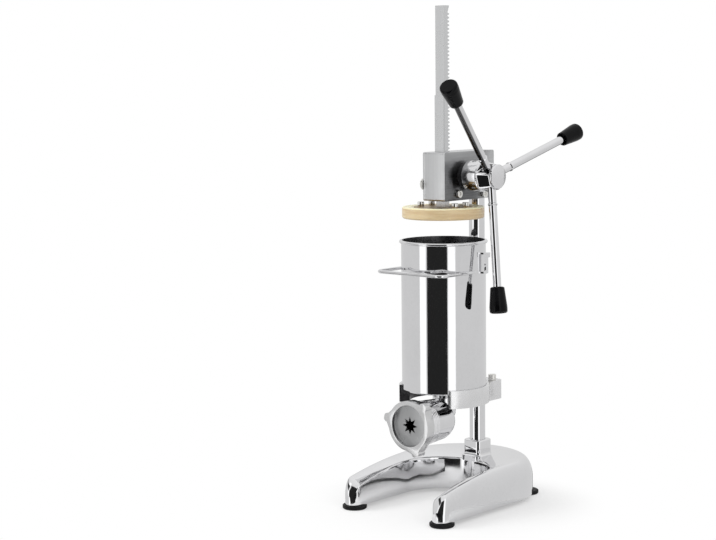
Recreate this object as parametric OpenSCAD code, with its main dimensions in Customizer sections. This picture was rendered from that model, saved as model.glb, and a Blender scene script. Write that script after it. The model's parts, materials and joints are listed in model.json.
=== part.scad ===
// Table-top churro maker: a crank and rack press a plunger down into an upright barrel,
// and the dough leaves through an elbow and a star-shaped die at the front.
// Origin: on the ground under the barrel axis. +X is the crank side, +Y the column, +Z up.

/* [Base casting] */
// Overall width of the horseshoe casting
base_w = 197; // [185:1:215]
// Clear width of the arch between the two prongs
arch_w = 139; // [128:1:148]
// Distance from the barrel axis forward to the centre of each prong tip
prong_reach = 112; // [98:1:130]
// Distance from the column axis back to the rear edge of the casting
base_tail = 76; // [68:1:86]
// Height of the casting's crest above its underside
crown_h = 59; // [54:1:66]
// Radius of the arc along which the crest falls towards the prong tips
crown_fall_r = 600; // [500:10:900]
// How far in front of the column axis the crest starts to fall
crown_fall_y = 52; // [40:1:70]
// Height of the blunt nose at the end of each prong
nose_h = 15; // [12:1:24]
// How much lower the crown is at its inner edge than at its crest
inner_drop = 8; // [4:0.5:10]
// Rounding of the crown's inner edge
inner_round = 5; // [3:0.5:8]
// Largest width of the rounding between the crest and the outer wall
outer_round = 26; // [18:1:32]
// Largest height of that rounding
outer_round_h = 34; // [26:1:38]
// Wall thickness of the hollow casting
casting_wall = 5; // [4:0.5:8]
// Width of the square boss that holds the column
boss_w = 33; // [31:1:38]
// Corner radius of the column boss
boss_round = 7; // [3:0.5:10]
// Height of the column boss above the crown
boss_h = 20.5; // [14:0.5:30]

/* [Feet] */
// Diameter of each rubber foot
foot_d = 36.8; // [30:0.2:42]
// Thickness of each rubber foot
foot_h = 6; // [5:0.5:9]
// Distance of the rear feet in from the casting's sides
rear_foot_in = 36.5; // [30:0.5:44]
// Distance of the rear feet behind the column axis
rear_foot_y = 44; // [36:1:52]
// Thread diameter of the foot screws
foot_screw_d = 5; // [4:0.5:6]

/* [Column] */
// Diameter of the column
column_d = 24; // [22:0.5:26]
// Distance from the barrel axis back to the column axis
column_y = 82.3; // [80:0.5:95]
// How deep the column stands in the casting
column_seat = 62; // [45:1:64]
// Thread diameter of the screw under the column
column_screw_d = 8; // [6:1:10]

/* [Barrel bracket] */
// Height of the bracket's underside above the ground
bracket_z = 157; // [150:1:175]
// Height of the C-shaped ring
bracket_h = 26.5; // [22:0.5:32]
// Height of the ledge that the barrel stands on
ledge_h = 19; // [14:0.5:21]
// Width of that ledge
ledge_w = 11; // [6:0.5:14]
// Thickness of the ring's rim round the barrel
bracket_rim = 4.2; // [3:0.1:7]
// Half the angle of the ring's opening at the front
bracket_mouth = 45; // [42:1:60]
// Width of the block that grips the column
bracket_block_w = 60; // [52:1:66]
// Thickness of the block behind the column axis
bracket_block_back = 25; // [20:0.5:28]
// How far the block hangs below the ring
bracket_block_drop = 8; // [4:0.5:12]
// Diameter of the cap heads of the bracket screws
bracket_screw_d = 12; // [10:0.5:14]

/* [Barrel] */
// Outer diameter of the barrel
barrel_od = 127; // [118:1:134]
// Wall thickness of the barrel
barrel_wall = 1.5; // [1.2:0.1:2.5]
// Height of the barrel
barrel_h = 226; // [200:1:250]
// Diameter of the rolled bead on the rim
bead_d = 4.4; // [3:0.1:6]
// Wire diameter of the barrel handle
handle_wire = 5; // [4:0.5:7]
// How far the handle's front bar stands from the barrel axis
handle_reach = 82; // [78:1:95]
// Distance of the handle below the barrel's rim
handle_drop = 44.5; // [36:0.5:80]
// Bend radius of the handle
handle_bend = 12; // [8:1:16]
// Height of the keeper strap at the rear of the barrel
keeper_h = 31; // [24:1:40]
// How far the keeper stands off the barrel
keeper_gap = 5; // [4.5:0.5:8]
// Distance of the keeper's top below the barrel's rim
keeper_drop = 17; // [8:0.5:40]

/* [Outlet and die] */
// Height of the outlet axis above the ground
outlet_z = 131.5; // [126:0.5:134]
// Outer diameter of the upright neck
neck_d = 35; // [32:1:40]
// Outer diameter of the threaded mouth
mouth_d = 65; // [60:1:68]
// Wall thickness of the outlet
outlet_wall = 4; // [3:0.5:6]
// Distance from the barrel axis forward to the nut's front face
nut_front = 86.3; // [82:0.5:96]
// Outer diameter of the nut's ring
nut_d = 75; // [73:1:82]
// Length of the nut
nut_len = 16; // [14:0.5:22]
// Opening in the nut's front lip
nut_open_d = 62; // [50:1:62]
// Thickness of the front lip
nut_lip = 4.5; // [3:0.5:6]
// Distance from the nut's axis to the end of a lug
lug_reach = 47; // [44:1:52]
// Width of a lug
lug_w = 13; // [11:0.5:18]
// Corner radius at the end of a lug
lug_round = 5; // [2:0.5:6]
// Thickness of the die
die_t = 5; // [4:0.5:6]
// Distance across the points of the star
star_d = 26.4; // [16:0.2:30]
// Distance across the roots of the star
star_root_d = 13.5; // [8:0.5:15]
// Number of points on the star
star_points = 8; // [5:1:10]
// Thickness of the sealing ring behind the die
seal_t = 2; // [1.5:0.1:3]

/* [Rack and pinion] */
// Module of the rack and pinion teeth
tooth_module = 1.75; // [1.5:0.05:2]
// Number of teeth on the pinion
pinion_teeth = 25; // [22:1:26]
// Width of the rack and of the pinion
rack_w = 16; // [12:1:18]
// Depth of the rack from its back to its tooth tips
rack_d = 13; // [11:0.5:15]
// Length of plain rack above the teeth
rack_tip = 6; // [3:0.5:10]
// Diameter of the crank shaft
shaft_d = 16; // [12:1:18]
// Thickness of the guide strip in front of the rack
guide_t = 2.2; // [1.5:0.1:3]
// Height of the guide strip above the gear housing
guide_h = 84; // [60:1:110]

/* [Gear housing] */
// Gap between the raised plunger and the housing above it
housing_gap = 8.9; // [8:0.1:20]
// Width of the housing with its side cover
housing_w = 41.2; // [38:0.2:46]
// Height of the housing
housing_h = 72.4; // [68:0.2:80]
// How far the housing reaches in front of the barrel axis
housing_front = 21.9; // [21:0.1:28]
// How far the housing reaches behind the column axis
housing_back = 16.3; // [15:0.1:20]
// Thickness of the side cover
cover_t = 4; // [3:0.5:5]
// Height of the crank axis above the housing's underside
crank_z = 36.5; // [34:0.5:40]

/* [Plunger] */
// Radial clearance of the plunger in the barrel
plunger_clear = 0.4; // [0.3:0.05:0.8]
// Height of the plunger
plunger_h = 17; // [14:0.5:22]
// Gap between the raised plunger and the barrel's rim
plunger_gap = 33; // [26:1:36]
// Height left under the lowered plunger, from the barrel's bottom edge
floor_gap = 30; // [28:1:60]
// Diameter of the steel plate on the plunger
plate_d = 88; // [80:1:96]
// Thickness of that plate
plate_t = 8; // [5:0.5:9]
// Thread diameter of the plunger bolts
bolt_d = 6; // [5:0.5:8]
// Height of their heads
bolt_head_h = 6.5; // [4:0.5:7]

/* [Crank] */
// Angle of the first arm above the rear, at rest
crank_rest = 17.6; // [0:0.5:119.5]
// Outward lean of the arms
arm_tilt = 10.4; // [5:0.1:15]
// How far the rear arm is bent in from that lean
rear_arm_bend = 4.2; // [0:0.1:5]
// How far the lower arm is bent out of its even place, away from the rear
lower_arm_bend = 3.5; // [0:0.1:5]
// Diameter of the arms
arm_d = 12; // [10:0.5:13]
// Length from the crank axis to the end of a grip
arm_len = 203; // [160:1:230]
// Distance of the small collar on an arm from the crank axis
arm_collar = 42; // [34:1:60]
// Length of a grip
grip_len = 38; // [30:1:50]
// Diameter of a grip at its outer end
grip_d = 26.5; // [24:0.5:30]
// Diameter of a grip at its inner end
grip_neck_d = 21; // [19:0.5:23]
// Outer diameter of the hub
hub_d = 46; // [44:1:52]
// Length of the round part of the hub
hub_len = 27.7; // [24:0.1:34]
// Length of the six-sided part that carries the arms
hub_head_len = 22; // [20:0.5:26]
// Diameter of the cap on the hub's end
hub_cap_d = 36; // [30:1:38]
// Thickness of the flange of the outer bush
bush_flange_t = 9.4; // [5:0.1:12]
// Diameter of that flange
bush_flange_d = 38; // [34:1:42]

/* [Hidden] */
// Clearances: pieces that move past each other, and pieces that are fitted together
move_gap = 0.3;
fit_gap = 0.03;
seat_gap = 0.1;
run_fit = 0.05;
eps = 0.01;

// Heights, from the ground up
casting_z = foot_h;
crown_z = casting_z + crown_h;
crest_fall_at = crown_fall_y - column_y;
boss_z = crown_z + boss_h;
column_bottom = boss_z - column_seat;
ledge_top = bracket_z + ledge_h;
barrel_z = ledge_top + seat_gap;
barrel_top = barrel_z + barrel_h;
plunger_z = barrel_top + plunger_gap;
plunger_top = plunger_z + plunger_h;
housing_z = plunger_top + housing_gap;
crank_axis_z = housing_z + crank_z;
housing_top = housing_z + housing_h;
column_top = housing_z + 0.72 * housing_h;

// Rack and pinion
pressure_angle = 20;
backlash = 0.2;
pitch = PI * tooth_module;
addendum = tooth_module;
dedendum = 1.25 * tooth_module;
pinion_r = tooth_module * pinion_teeth / 2;
rack_front = -rack_d / 2;
rack_tips = rack_d / 2;
pitch_line = rack_tips - addendum;
crank_axis_y = pitch_line + pinion_r;
stroke_down = barrel_h + plunger_gap - floor_gap;
stroke_up = 7;
teeth_low = crank_axis_z - stroke_up - 3 * pitch;
teeth_top = crank_axis_z + stroke_down + 3 * pitch;
rack_top = teeth_top + rack_tip;
rack_bottom = plunger_top - plate_t;
tooth_count = floor((teeth_top - teeth_low) / pitch);

// Housing, in X from the outer face of the cover to the crank side
housing_left = -housing_w / 2;
housing_right = housing_w / 2;
block_left = housing_left + cover_t;
housing_rear = column_y + housing_back;
gear_room = 1.2;
cavity_r = pinion_r + addendum + gear_room;
bush_left_d = shaft_d + 6;
bush_right_d = shaft_d + 8;
pinion_w = rack_w;
slot_gap = move_gap;

// Crank
flange_x = housing_right + bush_flange_t;
hub_x = flange_x + move_gap;
hub_head_x = hub_x + hub_len;
hub_cap_x = hub_head_x + hub_head_len;
hub_cap_t = 4;
shaft_end_x = hub_head_x - 4;
shaft_left_x = housing_left + 1;
arm_root_x = hub_head_x + 0.52 * hub_head_len;
arm_root = 9;
arm_angles = [crank_rest, crank_rest + 120, crank_rest + 240 + lower_arm_bend];
arm_leans = [arm_tilt - rear_arm_bend, arm_tilt, arm_tilt];

// Barrel and plunger
barrel_r = barrel_od / 2;
barrel_in_r = barrel_r - barrel_wall;
floor_t = 2;
plunger_r = barrel_in_r - plunger_clear;
plunger_shoulder = 1.5;
stud_d = 12;
bolt_head_d = 1.67 * bolt_d;
bolt_x = housing_w / 2 + bolt_head_d / 2 + 6.8;
bolt_y = 13.1;

// Outlet, along its own axis towards the front (positive forward from the barrel axis)
die_front = nut_front - nut_lip - seat_gap;
die_back = die_front - die_t;
mouth_front = die_back - seal_t;
mouth_r = mouth_d / 2;
neck_r = neck_d / 2;
outlet_flange_d = neck_d + 18;
outlet_flange_t = 4;
ball_r = mouth_r - 1;
ball_f = ball_r - 7;
cone_f = ball_f + 15.5;
neck_end_z = outlet_z + 11.5;
nut_back = nut_front - nut_len;
nut_bore_r = mouth_r + run_fit;

// Feet: left and right, front and rear
prong_x = (base_w + arch_w) / 4;
front_feet = [[-prong_x, -prong_reach], [prong_x, -prong_reach]];
rear_foot_x = base_w / 2 - rear_foot_in;
rear_feet = [[-rear_foot_x, column_y + rear_foot_y], [rear_foot_x, column_y + rear_foot_y]];
foot_screw_len = 16;
foot_screw_head_d = 2 * foot_screw_d;
foot_screw_head_t = 0.6 * foot_screw_d;
foot_recess = foot_screw_head_t + 0.6;

steel = [0.76, 0.76, 0.77];
polished = [0.80, 0.80, 0.81];
satin = [0.68, 0.68, 0.69];
black = [0.06, 0.06, 0.06];
cream = [0.84, 0.77, 0.62];
bronze = [0.66, 0.50, 0.30];
zinc = [0.62, 0.62, 0.60];

// ---------------------------------------------------------------- shared forms

module along_x(x, y, z) translate([x, y, z]) rotate([0, 90, 0]) children();

// A cylinder with its axis along X, from x0 to x1
module x_rod(x0, x1, y, z, r) along_x(x0, y, z) cylinder(h = x1 - x0, r = r, $fn = 96);

// A cylinder with its axis along -Y, from forward distance f0 to f1
module forward_rod(f0, f1, z, r)
    translate([0, -f0, z]) rotate([90, 0, 0]) cylinder(h = f1 - f0, r = r, $fn = 96);

module rounded_rect(w, d, r) {
    square([w - 2 * r, d], center = true);
    square([w, d - 2 * r], center = true);
    for (sx = [-1, 1], sy = [-1, 1])
        translate([sx * (w / 2 - r), sy * (d / 2 - r)]) circle(r = r, $fn = 48);
}

// Socket cap screw with its head's underside at z = 0, the head above and the shank below
module cap_screw(d, len, head_d, head_h) {
    difference() {
        cylinder(h = head_h, d = head_d, $fn = 48);
        translate([0, 0, head_h / 2]) cylinder(h = head_h, d = 0.9 * d, $fn = 6);
    }
    translate([0, 0, -len]) cylinder(h = len + eps, d = d, $fn = 32);
}

// Round ring with two diameters
module ring(r_out, r_in, h) difference() {
    cylinder(h = h, r = r_out, $fn = 96);
    translate([0, 0, -1]) cylinder(h = h + 2, r = r_in, $fn = 96);
}

// ---------------------------------------------------------------- base

inner_half = arch_w / 2;
outer_half = base_w / 2;
arch_y = column_y - boss_w / 2 - 2 - inner_half;
tail_y = column_y + base_tail - outer_half;
tip_r = (outer_half - inner_half) / 2;
nose_steps = 7;
side_steps = 9;
arch_steps = 14;
outer_share = 0.28;
wall_draft = 1.5;

function crown(y) = -y <= crest_fall_at ? crown_h
    : crown_h - crown_fall_r + sqrt(pow(crown_fall_r, 2) - pow(-y - crest_fall_at, 2));

// Stations of the right half: [inner point, outer point, height of the crest]
function nose_station(a) = let (y = -prong_reach - tip_r * sin(a), half = tip_r * cos(a))
    [[prong_x - half, y], [prong_x + half, y],
     nose_h + (crown(-prong_reach) - nose_h) * pow(cos(a), 1.5)];
function side_station(t) = let (yi = -prong_reach + t * (arch_y + prong_reach),
                                yo = -prong_reach + t * (tail_y + prong_reach))
    [[inner_half, yi], [outer_half, yo], crown((yi + yo) / 2)];
function arch_station(a) = [
    [inner_half * cos(a), arch_y + inner_half * sin(a)],
    [outer_half * cos(a), tail_y + outer_half * sin(a)],
    crown((arch_y + tail_y) / 2 + outer_half * sin(a))];

right_half = concat(
    [for (k = [nose_steps:-1:1]) nose_station(80 * k / nose_steps)],
    [for (k = [0:side_steps - 1]) side_station(k / side_steps)],
    [for (k = [0:arch_steps]) arch_station(90 * k / arch_steps)]);
function flip(s) = [[-s[0][0], s[0][1]], [-s[1][0], s[1][1]], s[2]];
left_half = [for (k = [len(right_half) - 2:-1:0]) flip(right_half[k])];
stations = concat(right_half, left_half);

// Point on a station's line, at distance u from the inner wall and height z
function on_line(s, u, z) = let (v = s[1] - s[0], w = norm(v))
    [s[0][0] + v[0] * u / w, s[0][1] + v[1] * u / w, casting_z + z];

// Rounding between the crest and the outer wall: [width, height]
function outer_size(w, h) = [min(outer_round, outer_share * w), min(outer_round_h, 0.6 * h)];
function inner_size(w) = min(inner_round, 0.3 * w);
function edge_drop(w) = min(inner_drop, 0.45 * w);

// Outer section: drafted inner wall, rounded inner edge, a crown that rises to the crest
// near the outer side, and an elliptical rounding down to the outer wall
function skin_section(s) = let (
    w = norm(s[1] - s[0]), h = s[2], o = outer_size(w, h), fi = inner_size(w),
    d = min(wall_draft, 0.1 * w), hi = h - edge_drop(w), crest = w - o[0])
    concat(
        [on_line(s, 0, 0)],
        [for (a = [0:22.5:90]) on_line(s, d + fi - fi * cos(a), hi - fi + fi * sin(a))],
        [for (t = [0.3, 0.6, 0.85])
            on_line(s, d + fi + t * (crest - d - fi), hi + (h - hi) * sin(90 * t))],
        [for (a = [90:-15:0]) on_line(s, crest + o[0] * cos(a), h - o[1] + o[1] * sin(a))],
        [on_line(s, w, 0)]);

// Inner section of the hollow: one wall thickness inside the skin, open below
function hollow_section(s) = let (
    w = norm(s[1] - s[0]), h = s[2], t = casting_wall, o = outer_size(w, h),
    fi = inner_size(w), hi = h - edge_drop(w))
    [on_line(s, t + wall_draft, -1), on_line(s, t + wall_draft, hi - fi - t),
     on_line(s, t + fi, hi - 1.3 * t), on_line(s, w - o[0] - 0.3 * t, h - 1.3 * t),
     on_line(s, w - 1.2 * t, h - o[1]), on_line(s, w - t, -1)];

// Loft through sections that all have the same number of points
module loft(sections) {
    n = len(sections);
    m = len(sections[0]);
    polyhedron(
        points = [for (s = sections) for (p = s) p],
        faces = concat(
            [[for (j = [0:m - 1]) j]],
            [for (i = [0:n - 2]) for (j = [0:m - 1]) let (k = (j + 1) % m)
                each [[i * m + j, (i + 1) * m + j, i * m + k],
                      [i * m + k, (i + 1) * m + j, (i + 1) * m + k]]],
            [[for (j = [m - 1:-1:0]) (n - 1) * m + j]]),
        convexity = 6);
}

module casting_hollow() {
    first = nose_steps + 1;
    last = len(stations) - 2 - nose_steps;
    difference() {
        loft([for (k = [first:last]) hollow_section(stations[k])]);
        translate([0, column_y, 0]) cylinder(h = boss_z, d = boss_w + 4, $fn = 64);
        for (p = rear_feet) translate([p[0], p[1], 0]) cylinder(h = crown_z, r = 8, $fn = 32);
    }
}

module base_casting() color(polished) difference() {
    union() {
        loft([for (s = stations) skin_section(s)]);
        translate([0, column_y, casting_z + crown_h / 2])
            linear_extrude(boss_z - casting_z - crown_h / 2)
                rounded_rect(boss_w, boss_w, boss_round);
    }
    casting_hollow();
    translate([0, column_y, column_bottom])
        cylinder(h = column_seat + 1, r = column_d / 2 + fit_gap, $fn = 96);
    translate([0, column_y, -1]) cylinder(h = boss_z, r = column_screw_d / 2 + fit_gap, $fn = 32);
    for (p = concat(front_feet, rear_feet)) translate([p[0], p[1], 0])
        cylinder(h = casting_z + foot_screw_len, r = foot_screw_d / 2 + fit_gap, $fn = 32);
}

module foot(p) color(black) translate([p[0], p[1], 0]) difference() {
    rotate_extrude($fn = 96) polygon([
        [0, 0], [foot_d / 2 - 1.5, 0], [foot_d / 2, 1.5], [foot_d / 2, foot_h - 1],
        [foot_d / 2 - 1, foot_h], [0, foot_h]]);
    translate([0, 0, -1]) cylinder(h = foot_h + 2, r = foot_screw_d / 2 + fit_gap, $fn = 32);
    translate([0, 0, -1]) cylinder(h = foot_recess + 1, d = foot_screw_head_d + 1, $fn = 48);
}
module foot_front_left() foot(front_feet[0]);
module foot_front_right() foot(front_feet[1]);
module foot_rear_left() foot(rear_feet[0]);
module foot_rear_right() foot(rear_feet[1]);

module foot_screws() color(zinc)
    for (p = concat(front_feet, rear_feet)) translate([p[0], p[1], foot_recess]) mirror([0, 0, 1])
        cap_screw(foot_screw_d, foot_h - foot_recess + foot_screw_len - 1,
                  foot_screw_head_d, foot_screw_head_t);

// ---------------------------------------------------------------- column and bracket

module column() color(polished) translate([0, column_y, column_bottom]) difference() {
    union() {
        cylinder(h = column_top - column_bottom - 2, d = column_d, $fn = 96);
        translate([0, 0, column_top - column_bottom - 2])
            cylinder(h = 2, d1 = column_d, d2 = column_d - 4, $fn = 96);
    }
    translate([0, 0, -1]) cylinder(h = 26, r = column_screw_d / 2 + fit_gap, $fn = 32);
}

module column_base_screw() color(zinc)
    translate([0, column_y, casting_z]) mirror([0, 0, 1]) translate([0, 0, 0])
        cap_screw(column_screw_d, column_bottom - casting_z + 22, 1.5 * column_screw_d,
                  min(0.6 * column_screw_d, foot_h - 1));

bracket_r = barrel_r + move_gap + bracket_rim;
bracket_block_z = bracket_z - bracket_block_drop;
bracket_block_top = bracket_z + bracket_h - 5;
bracket_screw_x = 20.5;
bracket_screw_y = column_y + bracket_block_back - bracket_screw_d / 2 - 8;

// Shoulders that carry the ring's sides straight back into the block
module bracket_shoulders() translate([0, 0, bracket_z]) linear_extrude(bracket_h - 5) polygon([
    [-bracket_r * cos(25), bracket_r * sin(25)], [bracket_r * cos(25), bracket_r * sin(25)],
    [bracket_block_w / 2, column_y - 4], [-bracket_block_w / 2, column_y - 4]]);

module bracket_body() {
    translate([0, 0, bracket_z]) cylinder(h = bracket_h, r = bracket_r, $fn = 128);
    bracket_shoulders();
    translate([0, 0, bracket_block_z]) linear_extrude(bracket_block_top - bracket_block_z)
        translate([0, (column_y + bracket_block_back + 46) / 2])
            rounded_rect(bracket_block_w, column_y + bracket_block_back - 46, 5);
}

module barrel_bracket() color(satin) difference() {
    bracket_body();
    translate([0, 0, ledge_top]) cylinder(h = bracket_h, r = barrel_r + move_gap, $fn = 128);
    translate([0, 0, bracket_block_z - 1])
        cylinder(h = bracket_h + bracket_block_drop + 2, r = barrel_r - ledge_w, $fn = 128);
    translate([0, 0, bracket_z - 1]) linear_extrude(bracket_h + 2)
        polygon([[0, 0], 2 * bracket_r * [-sin(bracket_mouth), -cos(bracket_mouth)],
                 [0, -3 * bracket_r], 2 * bracket_r * [sin(bracket_mouth), -cos(bracket_mouth)]]);
    translate([0, column_y, bracket_block_z - 1])
        cylinder(h = bracket_h + bracket_block_drop + 2, r = column_d / 2 + fit_gap, $fn = 96);
    for (sx = [-1, 1]) translate([sx * bracket_screw_x, bracket_screw_y, bracket_block_z + 4])
        cylinder(h = bracket_h + bracket_block_drop, r = 0.3 * bracket_screw_d + fit_gap, $fn = 32);
}

module bracket_screws() color(zinc)
    for (sx = [-1, 1]) translate([sx * bracket_screw_x, bracket_screw_y, bracket_block_top])
        cap_screw(0.6 * bracket_screw_d, bracket_block_top - bracket_block_z - 5,
                  bracket_screw_d, 0.7 * bracket_screw_d);

// ---------------------------------------------------------------- gear housing

set_screw_spots = [[11, 9.8], [73.2, 6.6]];
set_screw_head_d = 12;
adjuster_d = 10;
adjuster_y = rack_front - slot_gap - guide_t - adjuster_d / 2 - 1.5;
adjuster_z = housing_z + 24.5;
cover_screw_d = 5;
cover_inset = 8;
cover_screw_len = 10;

module housing_outline() {
    d = housing_front + housing_rear;
    translate([(housing_rear - housing_front) / 2, housing_h / 2]) rounded_rect(d, housing_h, 3);
}

// A plate or block with the housing's outline, from x0 to x1
module housing_slab(x0, x1) translate([x0, 0, housing_z])
    rotate([90, 0, 90]) linear_extrude(x1 - x0) housing_outline();

module at_cover_screws()
    for (y = [-housing_front + cover_inset, housing_rear - cover_inset],
         z = [housing_z + cover_inset, housing_top - cover_inset])
        along_x(housing_left, y, z) children();

module gear_housing() color(satin) difference() {
    housing_slab(block_left, housing_right);
    x_rod(block_left - 1, pinion_w / 2 + 2, crank_axis_y, crank_axis_z, cavity_r);
    x_rod(0, housing_right + 1, crank_axis_y, crank_axis_z, bush_right_d / 2 + fit_gap);
    translate([-rack_w / 2 - slot_gap, rack_front - slot_gap - guide_t, housing_z - 1])
        cube([rack_w + 2 * slot_gap, rack_d + 2 * slot_gap + guide_t, housing_h + 2]);
    translate([0, column_y, housing_z - 1])
        cylinder(h = column_top - housing_z + 1, r = column_d / 2 + fit_gap, $fn = 96);
    x_rod(block_left - 1, rack_w / 2 + 4, adjuster_y, adjuster_z, adjuster_d / 2 + fit_gap);
    for (p = set_screw_spots) x_rod(column_d / 2 + 1, housing_right + 1, p[0], housing_z + p[1],
                                    0.25 * set_screw_head_d + fit_gap);
    at_cover_screws()
        cylinder(h = cover_screw_len + 1, r = cover_screw_d / 2 + fit_gap, $fn = 32);
}

module housing_cover() color(satin) difference() {
    housing_slab(housing_left, block_left);
    x_rod(housing_left - 1, block_left + 1, crank_axis_y, crank_axis_z,
          bush_left_d / 2 + fit_gap);
    x_rod(housing_left - 1, block_left + 1, adjuster_y, adjuster_z, adjuster_d / 2 + fit_gap);
    at_cover_screws() {
        translate([0, 0, -1]) cylinder(h = 20, r = cover_screw_d / 2 + fit_gap, $fn = 32);
        translate([0, 0, -eps]) cylinder(h = 0.6 * cover_screw_d, d1 = 2 * cover_screw_d,
                                         d2 = cover_screw_d, $fn = 48);
    }
}

module cover_screws() color(zinc) at_cover_screws() difference() {
    union() {
        cylinder(h = cover_screw_len, d = cover_screw_d, $fn = 32);
        cylinder(h = 0.5 * cover_screw_d, d1 = 1.8 * cover_screw_d, d2 = cover_screw_d, $fn = 48);
    }
    translate([0, 0, -1]) cylinder(h = 2.2, d = 0.6 * cover_screw_d, $fn = 6);
}

module housing_set_screws() color(zinc)
    for (p = set_screw_spots) along_x(housing_right, p[0], housing_z + p[1])
        cap_screw(0.5 * set_screw_head_d, housing_right - column_d / 2 - 1.5,
                  set_screw_head_d, 3.5);

module rack_guide() color(steel)
    translate([-rack_w / 2, rack_front - slot_gap - guide_t, housing_z + 2])
        cube([rack_w, guide_t, housing_h - 2 + guide_h]);

module guide_adjuster() color(zinc) {
    x_rod(housing_left - 0.5, rack_w / 2 + 3, adjuster_y, adjuster_z, adjuster_d / 2);
    along_x(housing_left - 4, adjuster_y, adjuster_z)
        cylinder(h = 4, d1 = 2 * adjuster_d - 2, d2 = 2 * adjuster_d, $fn = 64);
}

// ---------------------------------------------------------------- rack and pinion

// Straight-flanked rack tooth, in (height, depth) with the pitch line at depth 0
function rack_tooth(z) = let (
    half = pitch / 4 - backlash / 4, lean = tan(pressure_angle))
    [[z - half - dedendum * lean, -dedendum], [z - half + addendum * lean, addendum],
     [z + half - addendum * lean, addendum], [z + half + dedendum * lean, -dedendum]];

// Teeth stand half a pitch off the crank axis, where the pinion has a tooth
first_tooth = crank_axis_z + pitch * (ceil((teeth_low - crank_axis_z) / pitch) + 0.5);

module rack() color(steel) difference() {
    union() {
        rotate([90, 0, 90]) translate([0, 0, -rack_w / 2]) linear_extrude(rack_w) polygon(concat(
            [[rack_front, rack_bottom], [rack_front, rack_top], [rack_tips, rack_top]],
            [for (k = [tooth_count - 1:-1:0]) let (t = rack_tooth(first_tooth + k * pitch))
                each [for (j = [3:-1:0]) [pitch_line + t[j][1], t[j][0]]]],
            [[rack_tips, rack_bottom]]));
        translate([0, 0, plunger_z + 1])
            cylinder(h = rack_bottom - plunger_z, d = stud_d, $fn = 48);
    }
}

// Involute flank of the pinion: angle swept at radius r, from the base circle
base_r = pinion_r * cos(pressure_angle);
function roll(r) = r <= base_r ? 0 : sqrt(pow(r / base_r, 2) - 1) * 180 / PI - acos(base_r / r);
function half_tooth(r) =
    90 / pinion_teeth - backlash / 4 / pinion_r * 180 / PI + roll(pinion_r) - roll(r);
tooth_radii = [for (k = [0:5])
    pinion_r - dedendum + (dedendum + addendum) * k / 5];

function polar(r, a) = [r * cos(a), r * sin(a)];
pinion_points = [for (k = [0:pinion_teeth - 1]) let (a = 360 * k / pinion_teeth)
    each concat([for (r = tooth_radii) polar(r, a - half_tooth(r))],
                [for (j = [5:-1:0]) polar(tooth_radii[j], a + half_tooth(tooth_radii[j]))])];

key_w = 4;
module key_slot(w, h) translate([-pinion_w / 2 - 1, -w / 2, 0]) cube([pinion_w + 2, w, h]);

// A tooth of the pinion points straight at the rack, so a rack gap lies at the crank's height
module pinion() color(steel) translate([0, crank_axis_y, crank_axis_z]) difference() {
    rotate([90, 0, 90]) translate([0, 0, -pinion_w / 2]) linear_extrude(pinion_w)
        rotate(180) polygon(pinion_points);
    x_rod(-pinion_w, pinion_w, 0, 0, shaft_d / 2 + fit_gap);
    key_slot(key_w, shaft_d / 2 + 2);
}

module pinion_shaft() color(steel) difference() {
    x_rod(shaft_left_x, shaft_end_x, crank_axis_y, crank_axis_z, shaft_d / 2);
    translate([0, crank_axis_y, crank_axis_z]) translate([0, 0, shaft_d / 2 - 2])
        key_slot(key_w, 4);
}

module shaft_key() color(zinc)
    translate([-pinion_w / 2, crank_axis_y - key_w / 2 + fit_gap,
               crank_axis_z + shaft_d / 2 - 2])
        cube([pinion_w, key_w - 2 * fit_gap, 4 - 2 * fit_gap]);

module bush(x0, x1, d) difference() {
    x_rod(x0, x1, crank_axis_y, crank_axis_z, d / 2);
    x_rod(x0 - 1, x1 + 1, crank_axis_y, crank_axis_z, shaft_d / 2 + run_fit);
}
module shaft_bush_left() color(bronze) bush(housing_left, -pinion_w / 2 - 1, bush_left_d);
module shaft_bush_right() color(black) {
    bush(pinion_w / 2 + 1, housing_right + eps, bush_right_d);
    bush(housing_right, flange_x, bush_flange_d);
}

// ---------------------------------------------------------------- crank

module at_arm(a, lean = arm_tilt) translate([arm_root_x, crank_axis_y, crank_axis_z])
    rotate([a, 0, 0]) rotate([0, 0, -lean]) rotate([-90, 0, 0]) children();
module on_arm(k) at_arm(arm_angles[k], arm_leans[k]) children();

hub_flat_r = hub_d / 2 - 1.5;
hub_flat_dist = hub_flat_r * cos(arm_tilt) - (arm_root_x - hub_head_x) * sin(arm_tilt);
hub_set_screw_x = hub_x + 0.45 * hub_len;

// Round head with six flats, each square to the lean of the arms
module hub_head() difference() {
    x_rod(hub_head_x - eps, hub_cap_x, crank_axis_y, crank_axis_z, hub_d / 2 + 1);
    for (k = [0:5]) at_arm(crank_rest + 60 * k) translate([-hub_d, -hub_d, hub_flat_dist])
        cube([2 * hub_d, 2 * hub_d, hub_d]);
}

module handle_hub() color(polished) difference() {
    union() {
        along_x(hub_x, crank_axis_y, crank_axis_z) rotate_extrude($fn = 96) polygon([
            [0, 0], [hub_d / 2 - 1.5, 0], [hub_d / 2, 1.5], [hub_d / 2, hub_len - 2],
            [hub_d / 2 - 2, hub_len], [0, hub_len]]);
        hub_head();
    }
    x_rod(hub_x - 1, shaft_end_x + 1, crank_axis_y, crank_axis_z, shaft_d / 2 + fit_gap);
    for (k = [0:2]) on_arm(k) translate([0, 0, arm_root - 0.5])
        cylinder(h = hub_d, r = arm_d / 2 + fit_gap, $fn = 64);
    translate([hub_set_screw_x, crank_axis_y, crank_axis_z]) rotate([crank_rest, 0, 0])
        cylinder(h = hub_d, r = 3 + fit_gap, $fn = 32);
}

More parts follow.
